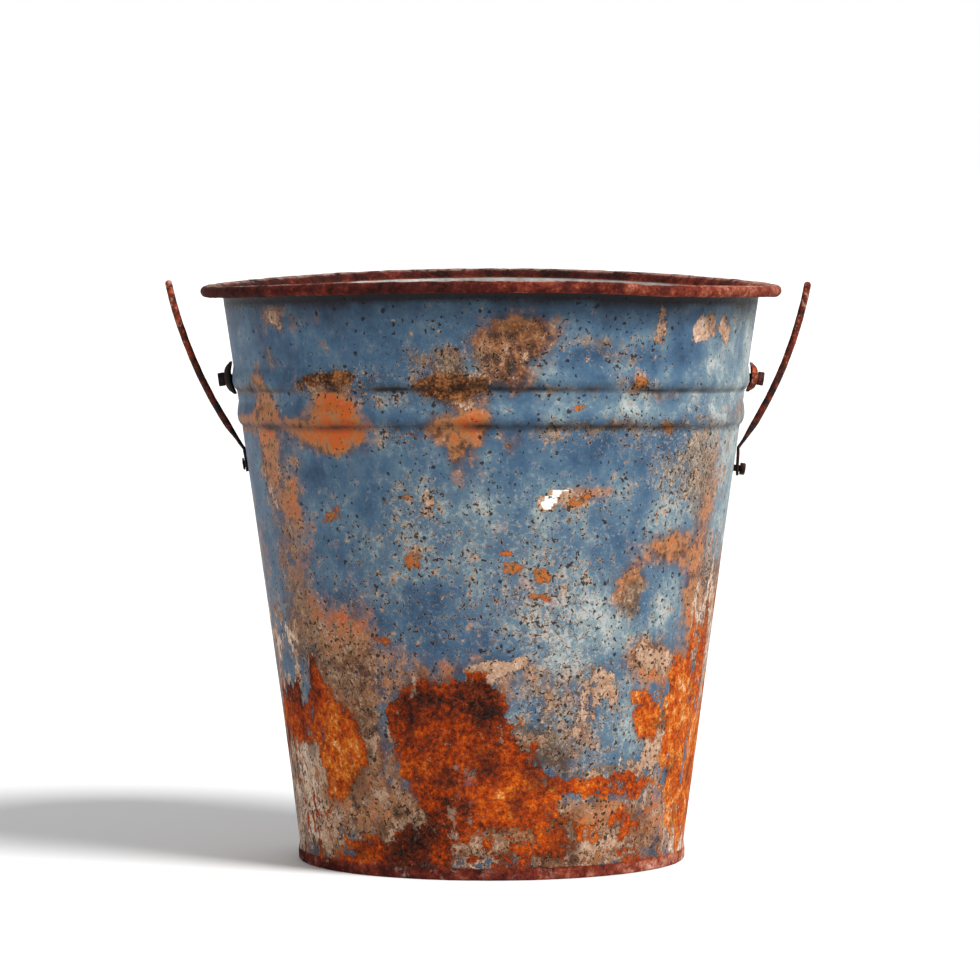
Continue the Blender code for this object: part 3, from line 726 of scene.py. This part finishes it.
BLUE_STOPS = [
    (0.00, (0.024, 0.052, 0.098)),
    (0.30, (0.052, 0.104, 0.168)),
    (0.55, (0.100, 0.158, 0.206)),
    (0.78, (0.190, 0.246, 0.262)),
    (1.00, (0.340, 0.375, 0.370)),
]
CHALK_STOPS = [
    (0.16, (0.060, 0.030, 0.016)),
    (0.40, (0.260, 0.140, 0.080)),
    (0.62, (0.430, 0.270, 0.180)),
    (0.84, (0.640, 0.500, 0.400)),
    (1.00, (0.880, 0.880, 0.860)),
]
ZINC_STOPS = [
    (0.20, (0.070, 0.050, 0.040)),
    (0.42, (0.300, 0.275, 0.250)),
    (0.75, (0.620, 0.600, 0.570)),
]
OLIVE_STOPS = [
    (0.25, (0.034, 0.018, 0.010)),
    (0.50, (0.140, 0.084, 0.048)),
    (0.80, (0.330, 0.230, 0.150)),
]
SCUFF = (0.400, 0.385, 0.350)
FLAKE_EDGE = (0.035, 0.020, 0.014)
RUST_EDGE = (0.080, 0.030, 0.014)
FLECK = (0.430, 0.250, 0.130)
PIT = (0.018, 0.009, 0.006)
# Colours of painted shade and of the rim's painted highlight.
DEEP_SHADE = (0.010, 0.006, 0.006)
RIM_HIGHLIGHT = (0.560, 0.370, 0.300)


def rust_colour(finish, tone, grain, specks=1.15):
    """Rust from near black through red-brown to bright orange, by tone and fine grain."""
    speck = finish.noise(0.0022, 4.0, 0.72)
    value = tone * 0.26 + (grain - 0.5) * 1.5 + (speck - 0.5) * specks + 0.47
    return finish.ramp(value, RUST_STOPS)


def paint_finish():
    """Flaking grey-blue paint over cream primer and rusted steel, with a bare inside, painted shade
    in the rib creases and under the rim, and a painted highlight along the rim's top.
    """
    finish = Finish("flaking_blue_paint")
    step, mix, noise, ramp = finish.step, finish.mix, finish.noise, finish.ramp
    rust, tone, stain, grime, primer, faded = map(
        finish.mask, ("rust", "tone", "stain", "grime", "primer", "faded"))
    pocked, shade, inner, bare_edge, crest, streaky = map(
        finish.mask, ("pocked", "shade", "inner", "bare_edge", "crest", "streaky"))

    blotch = noise(0.020, 5.0, 0.62)
    grain = noise(0.009, 9.0, 0.74)
    flake = noise(0.012, 7.0, 0.70, finish.stretched((1.0, 1.0, 0.55)))
    fine = noise(0.0017, 3.0, 0.7)
    streak = noise(0.006, 5.0, 0.6, finish.stretched((1.0, 1.0, 0.10)))
    chip = noise(0.0042, 4.0, 0.66, finish.stretched((1.0, 1.0, 0.8)))
    off_blotch, off_grain, off_flake, off_fine, off_streak, off_chip = (
        each - 0.5 for each in (blotch, grain, flake, fine, streak, chip)
    )
    worn = pocked * 0.5 + faded * 0.5

    fade = faded * 0.60 + off_blotch * 1.3 + off_grain * 0.5 + off_fine * 0.25
    thin = step(chip + off_blotch * 0.5 + worn * 0.08, 0.56, 0.60)
    fade = fade + off_streak * 0.35 + thin * (worn * 0.28 + 0.07) + 0.28
    blue = ramp(fade, BLUE_STOPS)
    soak = step(stain + off_grain * 1.6 + off_streak * 0.8, 0.05, 1.0)
    soak_tone = tone * 0.36 + off_grain * 1.9 + off_chip * 1.3 + soak * 0.30 + 0.24
    stained = mix((soak * 1.15).under(0.96), blue, ramp(soak_tone, SOAK_STOPS))
    dirt = step(grime + off_grain * 2.4 + off_blotch * 0.8, 0.25, 0.85)
    olive = ramp(chip * 1.2 + blotch * 0.8 - 0.5, OLIVE_STOPS)
    dirty = mix(dirt * 0.86, stained, olive)
    scab_level = chip + pocked * 0.10 + off_blotch * 0.35
    scab = step(scab_level, 0.665, 0.685)
    scabbed = mix(scab * 0.80, dirty, ramp(fine * 1.3 - 0.15, CHALK_STOPS[:3]))
    scuff = step(fine + off_grain * 0.8 + worn * 0.20, 0.64, 0.74)
    scuffed = mix(scuff * (worn * 0.6 + 0.1), scabbed, SCUFF)

    level = rust + off_grain * 2.5 + off_streak * (streaky * 2.0 + 0.5)
    islands = step(flake + off_chip * 0.6, 0.64, 0.67)
    islands = islands * step(1.25 - level, 0.0, 0.4)
    beside = step(level, 0.10, 0.40)
    flaked = off_flake * 1.6 + off_streak * streaky * 1.8
    loose = level * 0.60 + primer * 0.85 + flaked + beside * 0.08 + islands * 0.3
    bare = step(loose, 0.50, 0.53)
    bare = bare * step(primer + beside * 0.25 + off_blotch, 0.12, 0.30)
    white = step(primer, 0.94, 0.98)
    chalk_value = fine * 0.75 + flake * 0.7 + primer * 0.12 + streaky * 0.14 - 0.27
    chalk_value = chalk_value + off_chip * 0.8 + white * 0.7
    chalk = ramp(chalk_value, CHALK_STOPS)
    edge = step(loose, 0.44, 0.50) * (1 - bare) * step(primer, 0.2, 0.5)
    primed = mix(edge * 0.75, mix(bare, scuffed, chalk), FLAKE_EDGE)

    rusted = step(level, 0.50, 0.55) * (1 - islands)
    rim = step(level, 0.36, 0.50) * (1 - rusted)
    edged = mix(rim * 0.65, primed, RUST_EDGE)
    height = finish.node("ShaderNodeSeparateXYZ", {}, {"Vector": finish.place}, "Z")
    young = ramp(tone * 0.28 + off_grain * 2.3 + off_fine * 1.8 + 0.44, SOAK_STOPS)
    crust = mix(step(height, 0.11, 0.14), rust_colour(finish, tone, grain), young)
    body = mix(rusted, edged, crust)

    pit_noise = noise(0.0021, 2.5, 0.6)
    pit_level = pit_noise + pocked * 0.085 + off_blotch * 0.25
    pits = step(pit_level, 0.655, 0.69)
    holes = finish.spots(0.0048, 0.26, 0.30 + off_blotch * 0.9)
    lines = finish.cracks(0.0075, 0.040) * step(worn + off_chip * 3.4, 0.60, 0.85)
    open_pits = pits.over(holes).over(lines * 0.75)
    flecks = step(pit_level, 0.610, 0.645) * (1 - pits) * step(pocked, 0.2, 0.7)
    flecked = mix(flecks * (0.5 - rusted * 0.38), body, FLECK)
    pitted = mix(open_pits * (1 - rusted * 0.55) * 0.9, flecked, PIT)
    # Painted shade in the rib creases and under the rim, with the dark dirt smudges low down.
    shaded = mix((shade * (fine * 0.5 + 0.75)).under(0.95), pitted, DEEP_SHADE)

    zinc = ramp(blotch * 0.7 + streak * 0.5 - 0.1, ZINC_STOPS)
    lining = mix(rusted, zinc, rust_colour(finish, tone - 0.25, grain))
    rim_value = tone * 0.26 + off_grain * 1.3 + off_chip * 0.5 + off_fine * 0.5 + 0.53
    rim_steel = ramp(rim_value, RIM_STOPS)
    # Painted highlight: the rim's upward faces and flecks on the foot bead are made pale.
    highlight_share = crest * step(grain + off_fine * 0.4, 0.42, 0.54)
    rim_steel = mix(highlight_share * 0.50, rim_steel, RIM_HIGHLIGHT)
    colour = mix(bare_edge, mix(inner, shaded, lining), rim_steel)

    rough = 0.50 + off_fine * 0.5 + bare * 0.2 + rusted * 0.36 + dirt * 0.15
    crumbs = (noise(0.0014, 3.0, 0.65) - 0.5) * rusted * 0.0006
    coat = (1 - rusted) * 0.00016 + (1 - bare) * 0.00014 - open_pits * 0.00026 - scab * 0.00010
    relief = crumbs + coat + off_fine * 0.00010 + off_grain * rusted * 0.0008
    finish.set(Base_Color=colour, Roughness=rough, Normal=finish.bump(relief),
               Specular_IOR_Level=0.12)
    return finish.material


def add_piece(made, node):
    """Puts a piece in the place of its CAD node, on the one body."""
    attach(made, "root")
    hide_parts(node)


wall = surface("bucket_wall_sheet", wall_points, True, paint_finish(), masks)
add_piece(wall, "bucket_wall")


# Rim wire.
# A steel wire of 4 mm runs all round inside the curled rim and stiffens it. The sheet is
# closed over three quarters of it, and it shows only in the gap below the flare.

rim_section = arc((CURL_OUT, CURL_UP), RIM_WIRE / 2, 360, 0, 21)[:-1]


def steel_finish(name, ground, change):
    """Bare rusted steel: its tone is ground where the tone mask is 0, and ground + change at 1."""
    finish = Finish(name)
    grain = finish.noise(0.0050, 5.0, 0.65)
    crumbs = finish.noise(0.0011, 3.0, 0.65)
    tone = finish.mask("tone") * change + ground
    colour = rust_colour(finish, tone, grain, 0.5)
    flakes = finish.step(finish.noise(0.0022, 3.0, 0.6) + tone * 0.13, 0.50, 0.62)
    colour = finish.mix(flakes * 0.75, colour, (0.400, 0.230, 0.180))
    height = (crumbs - 0.5) * 0.00025 + (grain - 0.5) * 0.0004
    finish.set(Base_Color=colour, Roughness=0.68 + (crumbs - 0.5) * 0.5,
               Normal=finish.bump(height), Specular_IOR_Level=0.22)
    return finish.material


wire_points = within(out_of_true(ring_points(rim_section[:, 0], rim_section[:, 1])), "rim_wire")
wire_steel = steel_finish("bare_rim_wire", -1.2, 0.4)
wire = surface("rim_wire_round", wire_points, True, wire_steel, {"tone": 0.0})
add_piece(wire, "rim_wire")


# Bottom.
# A disc pressed from the same sheet, with its flange turned down into the foot seam. Wet
# loads have stood on it, so it is rusted all over, darkest round its edge.

BOTTOM_RECESS = 0.0066
BOTTOM_CORNER = 0.0020
BOTTOM_ROWS = 46
bottom_top = BOTTOM_RECESS + SHEET
corner_at = (FLANGE_RADIUS - BOTTOM_CORNER, bottom_top - BOTTOM_CORNER)
corner = arc(corner_at, BOTTOM_CORNER, 90, 0, 8)
inner_corner = arc(corner_at, BOTTOM_CORNER - SHEET, 0, 90, 6)
flange_end = SHEET + GAP
disc_out = np.linspace(0.0015, corner_at[0], BOTTOM_ROWS, endpoint=False)
upper = np.stack([disc_out, np.full(BOTTOM_ROWS, bottom_top)], -1)
under_face = np.stack([disc_out[::-1], np.full(BOTTOM_ROWS, BOTTOM_RECESS)], -1)
flange = np.array([(FLANGE_RADIUS, flange_end), (FLANGE_RADIUS - SHEET, flange_end)])
bottom_rows = np.concatenate([upper, corner, flange, inner_corner, under_face])
bottom_plain = ring_points(bottom_rows[:, 0], bottom_rows[:, 1])
from_middle = np.hypot(bottom_plain[..., 0], bottom_plain[..., 1])
sag = 0.00045 * rough_field(bottom_plain * (1, 1, 0), 0.045, 71) - 0.0002
sag = sag * smooth(corner_at[0], 0.7 * corner_at[0], from_middle)
bottom_points = within(bottom_plain + sag[..., None] * np.array([0, 0, 1]), "bucket_bottom")
ring_dirt = -1.0 * smooth(0.80, 1.0, from_middle / FLANGE_RADIUS)
bottom_tone = ring_dirt + 0.8 * rough_field(bottom_plain * (1, 1, 0), 0.030, 75)
bottom_steel = steel_finish("rusted_bottom", -0.45, 1.0)
bottom = surface("bucket_bottom_disc", bottom_points, False, bottom_steel,
                 {"tone": bottom_tone}, cap_ends=True)
add_piece(bottom, "bucket_bottom")


# Bail legs.
# What is left of the wire bail: on each side a short leg of 3.7 mm wire, its foot hammered
# flat and riveted to the body below the lower rib, its broken end rounded by rust.

BAIL_ROD = 0.0037
FOOT_THICK = 0.0014
FOOT_WIDE = 0.0076
FOOT_TOP = LOWER_RIB - 0.0188
SIDES = {
    "left": {"way": -1, "tip_out": 0.0166, "tip_drop": 0.0019, "bow": 0.0046, "foot": 0.0119,
             "lean": 0.0, "rivet_up": 0.0041, "rivet_head": 0.0008, "washer": 0.0172,
             "bolt_tone": -1.7, "washer_tone": -1.6, "washer_slot": "dark_rust"},
    "right": {"way": 1, "tip_out": 0.0136, "tip_drop": 0.0032, "bow": 0.0046, "foot": 0.0144,
              "lean": 0.0014, "rivet_up": 0.0039, "rivet_head": 0.0029, "washer": 0.0154,
              "bolt_tone": -0.95, "washer_tone": -0.35, "washer_slot": "tan_rust"},
}
LEG_COLUMNS = 28
FOOT_ROWS = 14
LEG_ROWS = 100
HAMMERED = (12, 30)  # rows between which the flat foot turns into round wire


def trued(out, up, way):
    """Points (out, up) of one side's upright plane, moved as the bent body has moved."""
    points = out_of_true(np.stack([way * out, 0 * out, up], -1))
    return np.stack([way * points[:, 0], points[:, 2]], -1)


def leg_line(facts):
    """Middle of a leg as (out, up): along the body at its foot, then a parabola's bow."""
    foot_up = FOOT_TOP - facts["foot"] * np.linspace(1, 0, FOOT_ROWS)
    stand_off = GAP + FOOT_THICK / 2 + facts["lean"] * (FOOT_TOP - foot_up) / facts["foot"]
    foot = trued(body_radius(foot_up), foot_up, facts["way"])
    foot = foot + np.stack([stand_off, 0 * foot_up], -1)
    bend_up = np.array([FOOT_TOP + BAIL_ROD / 2])
    start = trued(body_radius(bend_up), bend_up, facts["way"])[0] + (GAP + BAIL_ROD / 2, 0)
    tip = np.array([RIM_RADIUS + facts["tip_out"], BUCKET_HEIGHT - facts["tip_drop"]])
    chord = tip - start
    aside = np.array([chord[1], -chord[0]]) / np.hypot(*chord)
    share = np.linspace(0, 1, LEG_ROWS)[:, None]
    leg = start + chord * share + aside * 4 * facts["bow"] * share * (1 - share)
    return np.concatenate([foot, leg])


def leg_points(facts):
    """Sections carried along a leg's line: a flat strip's superellipse turns into a circle."""
    line = leg_line(facts)
    run = np.gradient(line, axis=0)
    run /= np.linalg.norm(run, axis=1)[:, None]
    share = smooth(*HAMMERED, np.arange(len(line)))[:, None]
    thick = FOOT_THICK + (BAIL_ROD - FOOT_THICK) * share
    wide = FOOT_WIDE + (BAIL_ROD - FOOT_WIDE) * share
    power = 0.5 + 0.5 * share
    round_end = np.linspace(0, 1, 9)[1:-1]
    last = line[-1] + run[-1] * (BAIL_ROD / 2 * np.sin(round_end * np.pi / 2))[:, None]
    scale = np.concatenate([np.ones(len(line)), np.cos(round_end * np.pi / 2)])[:, None]
    line = np.concatenate([line, last])
    run, thick, wide, power = (
        np.concatenate([each, np.repeat(each[-1:], len(last), 0)])
        for each in (run, thick, wide, power)
    )
    turned = np.linspace(0, 2 * np.pi, LEG_COLUMNS, endpoint=False)[None]
    cosine, sine = np.cos(turned), np.sin(turned)
    across = np.sign(cosine) * np.abs(cosine) ** power * thick / 2 * scale
    along_y = np.sign(sine) * np.abs(sine) ** power * wide / 2 * scale
    out = line[:, :1] + across * run[:, 1:]
    up = line[:, 1:] - across * run[:, :1]
    # Y turns with the side too, so that both legs' faces point outwards.
    return np.stack([facts["way"] * out, -facts["way"] * along_y, up], -1)


for side_name, facts in SIDES.items():
    points = leg_points(facts)
    lumps = [rough_field(points, 0.005, 81 + axis, 3) for axis in range(3)]
    rise = (points[..., 2] - FOOT_TOP) / (BUCKET_HEIGHT - FOOT_TOP)
    points = within(points + 0.00012 * np.stack(lumps, -1), f"bail_leg_{side_name}")
    leg_tone = np.clip(rise, 0, 1) ** 0.8 + 0.2 * rough_field(points, 0.010, 88)
    leg_steel = steel_finish(f"bail_wire_{side_name}", -1.5, 1.3)
    leg = surface(f"bail_leg_{side_name}_wire", points, False, leg_steel,
                  {"tone": leg_tone}, cap_ends=True)
    add_piece(leg, f"bail_leg_{side_name}")


# Foot rivets.
# A steel rivet holds each bail foot: its head is outside, worn thin on the left, and its
# tail is set over against the inside of the body.

RIVET_SHANK = 0.0034
RIVET_HEAD = 0.0062
RIVET_TAIL = 0.0012
SMALL_COLUMNS = 48


def seated(points, way, height, off=0.0):
    """Points moved to a seat on the body's side: X up along it, Y level, Z out of it."""
    step = 0.001
    slope = math.atan2(body_radius(height + step) - body_radius(height - step), 2 * step)
    out = np.array([way * math.cos(slope), 0, -math.sin(slope)])
    up = np.array([way * math.sin(slope), 0, math.cos(slope)])
    at = out_of_true([way * body_radius(height), 0, height])
    return at + out * off + points @ np.stack([up, np.cross(out, up), out])


def turned_rows(rows, shape=None):
    """Rows (out, up) carried round Z. A shape multiplies each point's distance out."""
    around = np.linspace(0, 2 * np.pi, SMALL_COLUMNS, endpoint=False)
    rows = np.asarray(rows, float)
    out = rows[:, :1] * (np.ones((len(rows), SMALL_COLUMNS)) if shape is None else shape(around))
    up = np.broadcast_to(rows[:, 1:], out.shape)
    return np.stack([out * np.cos(around), out * np.sin(around), up], -1)


def corroded(points, seed, depth=0.00010):
    """Points pushed about by three random fields, as rust eats and swells a small piece."""
    push = [rough_field(points, 0.003, seed + k, 2) for k in range(3)]
    return points + depth * np.stack(push, -1)


def steel_piece(node, shape, finish_name, tone, points, close_rows):
    """A small piece of rusted steel of one tone, held inside its CAD node's box."""
    made = surface(f"{node}_{shape}", within(points, node), close_rows,
                   steel_finish(finish_name, tone, 0.5), {"tone": 0.0}, cap_ends=not close_rows)
    add_piece(made, node)


for side_name, facts in SIDES.items():
    rivet_up = FOOT_TOP - facts["foot"] + facts["rivet_up"]
    head, wide, shank = facts["rivet_head"], RIVET_HEAD / 2, RIVET_SHANK / 2
    fillet = min(head * 0.45, 0.0009)
    lean = facts["lean"] * (FOOT_TOP - rivet_up + wide) / facts["foot"]
    under_head = 2 * GAP + FOOT_THICK + lean
    tail_top = -SHEET - 2 * GAP
    rows = np.concatenate([
        np.linspace((0.0004, under_head + head), (wide - fillet, under_head + head), 7)[:-1],
        arc((wide - fillet, under_head + head - fillet), fillet, 90, 0, 8),
        np.linspace((wide, under_head), (shank, under_head), 4),
        np.linspace((shank, tail_top), (wide, tail_top), 4)[:-1],
        arc((wide - RIVET_TAIL, tail_top), RIVET_TAIL, 0, -90, 8),
        [(0.0004, tail_top - RIVET_TAIL)],
    ])
    points = seated(corroded(turned_rows(rows), 91), facts["way"], rivet_up)
    steel_piece(f"foot_rivet_{side_name}", "set", f"rivet_steel_{side_name}", -1.25,
                points, False)


# Ears.
# On the upper rib of each side sits a hex bolt with a domed washer, arched over the rib. A
# flat washer and a nut hold it inside. All four have rusted fast.

BOLT_SHANK = 0.0040
HEX_ACROSS = 0.0070
HEAD_HEIGHT = 0.0030
NUT_HEIGHT = 0.0032
NUT_BEVEL = 0.0003
CROWN_MIDDLE = 0.0005  # radius of the first ring on a bolt's head
HEX_WORN = 0.0005  # radius of a hex piece's worn outer edge
HEX_SEAT_WORN = 0.00012
HEX_LIMIT = 1.105  # most that a worn corner could reach, over the reach of a flat
HEX_DIP = 0.01  # half of how much lower that limit is at the corner itself
BOLT_END = 0.0018
WASHER_HUB = 0.0033
WASHER_EDGE = 0.0018
INNER_WASHER = RIB_WIDTH + 2 * 0.0014
INNER_WASHER_THICK = 0.0010
THREAD_PITCH = 0.0007
THREAD_DEPTH = 0.00028
THREAD_MARGIN = 0.0001
bore = BOLT_SHANK / 2 + GAP
washer_rise = RIB_PROUD + 2 * GAP
head_at = washer_rise + WASHER_HUB + GAP
inner_seat = SHEET + GAP + (INNER_WASHER / 2) ** 2 / (2 * body_radius(UPPER_RIB))
washer_at = inner_seat + INNER_WASHER_THICK
nut_at = washer_at + GAP + NUT_HEIGHT
bolt_inner_end = nut_at + GAP + BOLT_END


def hexagon(around):
    """Distance out of a hexagon with worn corners, over that of its flats."""
    nearest = (around + np.pi / 6) % (np.pi / 3) - np.pi / 6
    worn = HEX_LIMIT - HEX_DIP * (1 - np.cos(6 * around))
    return np.minimum(1 / np.cos(nearest), worn)


def hex_rows(flat, low, high):
    """Rows down a hex piece's side, from its worn upper edge to its lower one."""
    top = arc((flat - HEX_WORN, high - HEX_WORN), HEX_WORN, 90, 0, 5)
    foot = arc((flat - HEX_SEAT_WORN, low + HEX_SEAT_WORN), HEX_SEAT_WORN, 0, -90, 4)
    return np.concatenate([top, foot])


def part_hex(rows, hexed):
    """Turned rows, the first ones given a hexagon's shape and the others left round."""
    return np.concatenate([turned_rows(rows[:hexed], hexagon), turned_rows(rows[hexed:])])


for side_name, facts in SIDES.items():
    way = facts["way"]

    outer, edge = facts["washer"] / 2, WASHER_EDGE / 3
    crown = HEX_ACROSS / 2 * 1.3
    dome = np.linspace(0, 1, 9)[:, None]
    dome = np.concatenate([crown + (outer - edge - crown) * dome,
                           WASHER_HUB + (WASHER_EDGE - WASHER_HUB) * dome**2.2], 1)
    rows = np.concatenate([
        [(bore, WASHER_HUB - edge), (bore + edge, WASHER_HUB)], dome,
        arc((outer - edge, WASHER_EDGE / 2), WASHER_EDGE / 2, 80, -80, 7),
        np.linspace((outer - edge, 0.0), (bore, 0.0), 8),
    ])
    rows[:, 0] = np.minimum(rows[:, 0], outer)
    points = corroded(turned_rows(rows), 101, 0.00014)
    points[..., 2] -= (washer_rise - GAP) * (points[..., 0] / outer) ** 2
    points = seated(points, way, UPPER_RIB, washer_rise)
    steel_piece(f"ear_washer_{side_name}", "domed", f"washer_steel_{side_name}",
                facts["washer_tone"], points, True)

    flat = HEX_ACROSS / 2
    head_top = head_at + HEAD_HEIGHT
    crown_rows = np.linspace((CROWN_MIDDLE, head_top), (flat - HEX_WORN, head_top), 5)[:-1]
    seat_at = head_at - 0.8 * GAP
    hexed = np.concatenate([crown_rows, hex_rows(flat, seat_at, head_top)])
    shank = np.linspace((BOLT_SHANK / 2, seat_at), (BOLT_SHANK / 2, -inner_seat), 6)
    thread = np.linspace((BOLT_SHANK / 2, -inner_seat), (BOLT_SHANK / 2, -bolt_inner_end), 84)[1:]
    end = [(BOLT_SHANK / 2 - 0.0004, -bolt_inner_end), (0.0004, -bolt_inner_end)]
    rows = np.concatenate([hexed, shank, thread, end])
    points = part_hex(rows, len(hexed))
    around = np.arctan2(points[..., 1], points[..., 0]) / (2 * np.pi)
    groove = np.abs(((points[..., 2] / THREAD_PITCH + around) % 1) * 2 - 1)
    in_thread = points[..., 2] < -inner_seat - THREAD_MARGIN
    in_thread = in_thread & (points[..., 2] > -bolt_inner_end + THREAD_MARGIN)
    points[..., :2] *= (1 - in_thread * groove * THREAD_DEPTH / (BOLT_SHANK / 2))[..., None]
    points = seated(corroded(points, 111, 0.00008), way, UPPER_RIB)
    steel_piece(f"ear_bolt_{side_name}", "hex", f"bolt_steel_{side_name}",
                facts["bolt_tone"], points, False)

    rows = np.concatenate([
        hex_rows(flat, 0.0, NUT_HEIGHT),
        [(bore + NUT_BEVEL, 0.0), (bore, NUT_BEVEL)],
        [(bore, NUT_HEIGHT - NUT_BEVEL), (bore + NUT_BEVEL, NUT_HEIGHT)],
    ])
    points = seated(corroded(part_hex(rows, len(rows) - 4), 121, 0.00008), way, UPPER_RIB, -nut_at)
    steel_piece(f"ear_nut_{side_name}", "hex", f"nut_steel_{side_name}", -0.6,
                points, True)

    thick = INNER_WASHER_THICK
    rim_round = arc((INNER_WASHER / 2 - thick / 2, thick / 2), thick / 2, 90, -90, 7)
    rows = np.concatenate([
        np.linspace((bore, thick), (INNER_WASHER / 2 - thick / 2, thick), 5)[:-1],
        rim_round,
        np.linspace((INNER_WASHER / 2 - thick / 2, 0.0), (bore, 0.0), 5)[1:],
    ])
    points = seated(corroded(turned_rows(rows), 131, 0.00006), way, UPPER_RIB, -washer_at)
    steel_piece(f"inner_washer_{side_name}", "flat", f"inner_washer_steel_{side_name}", -0.4,
                points, True)
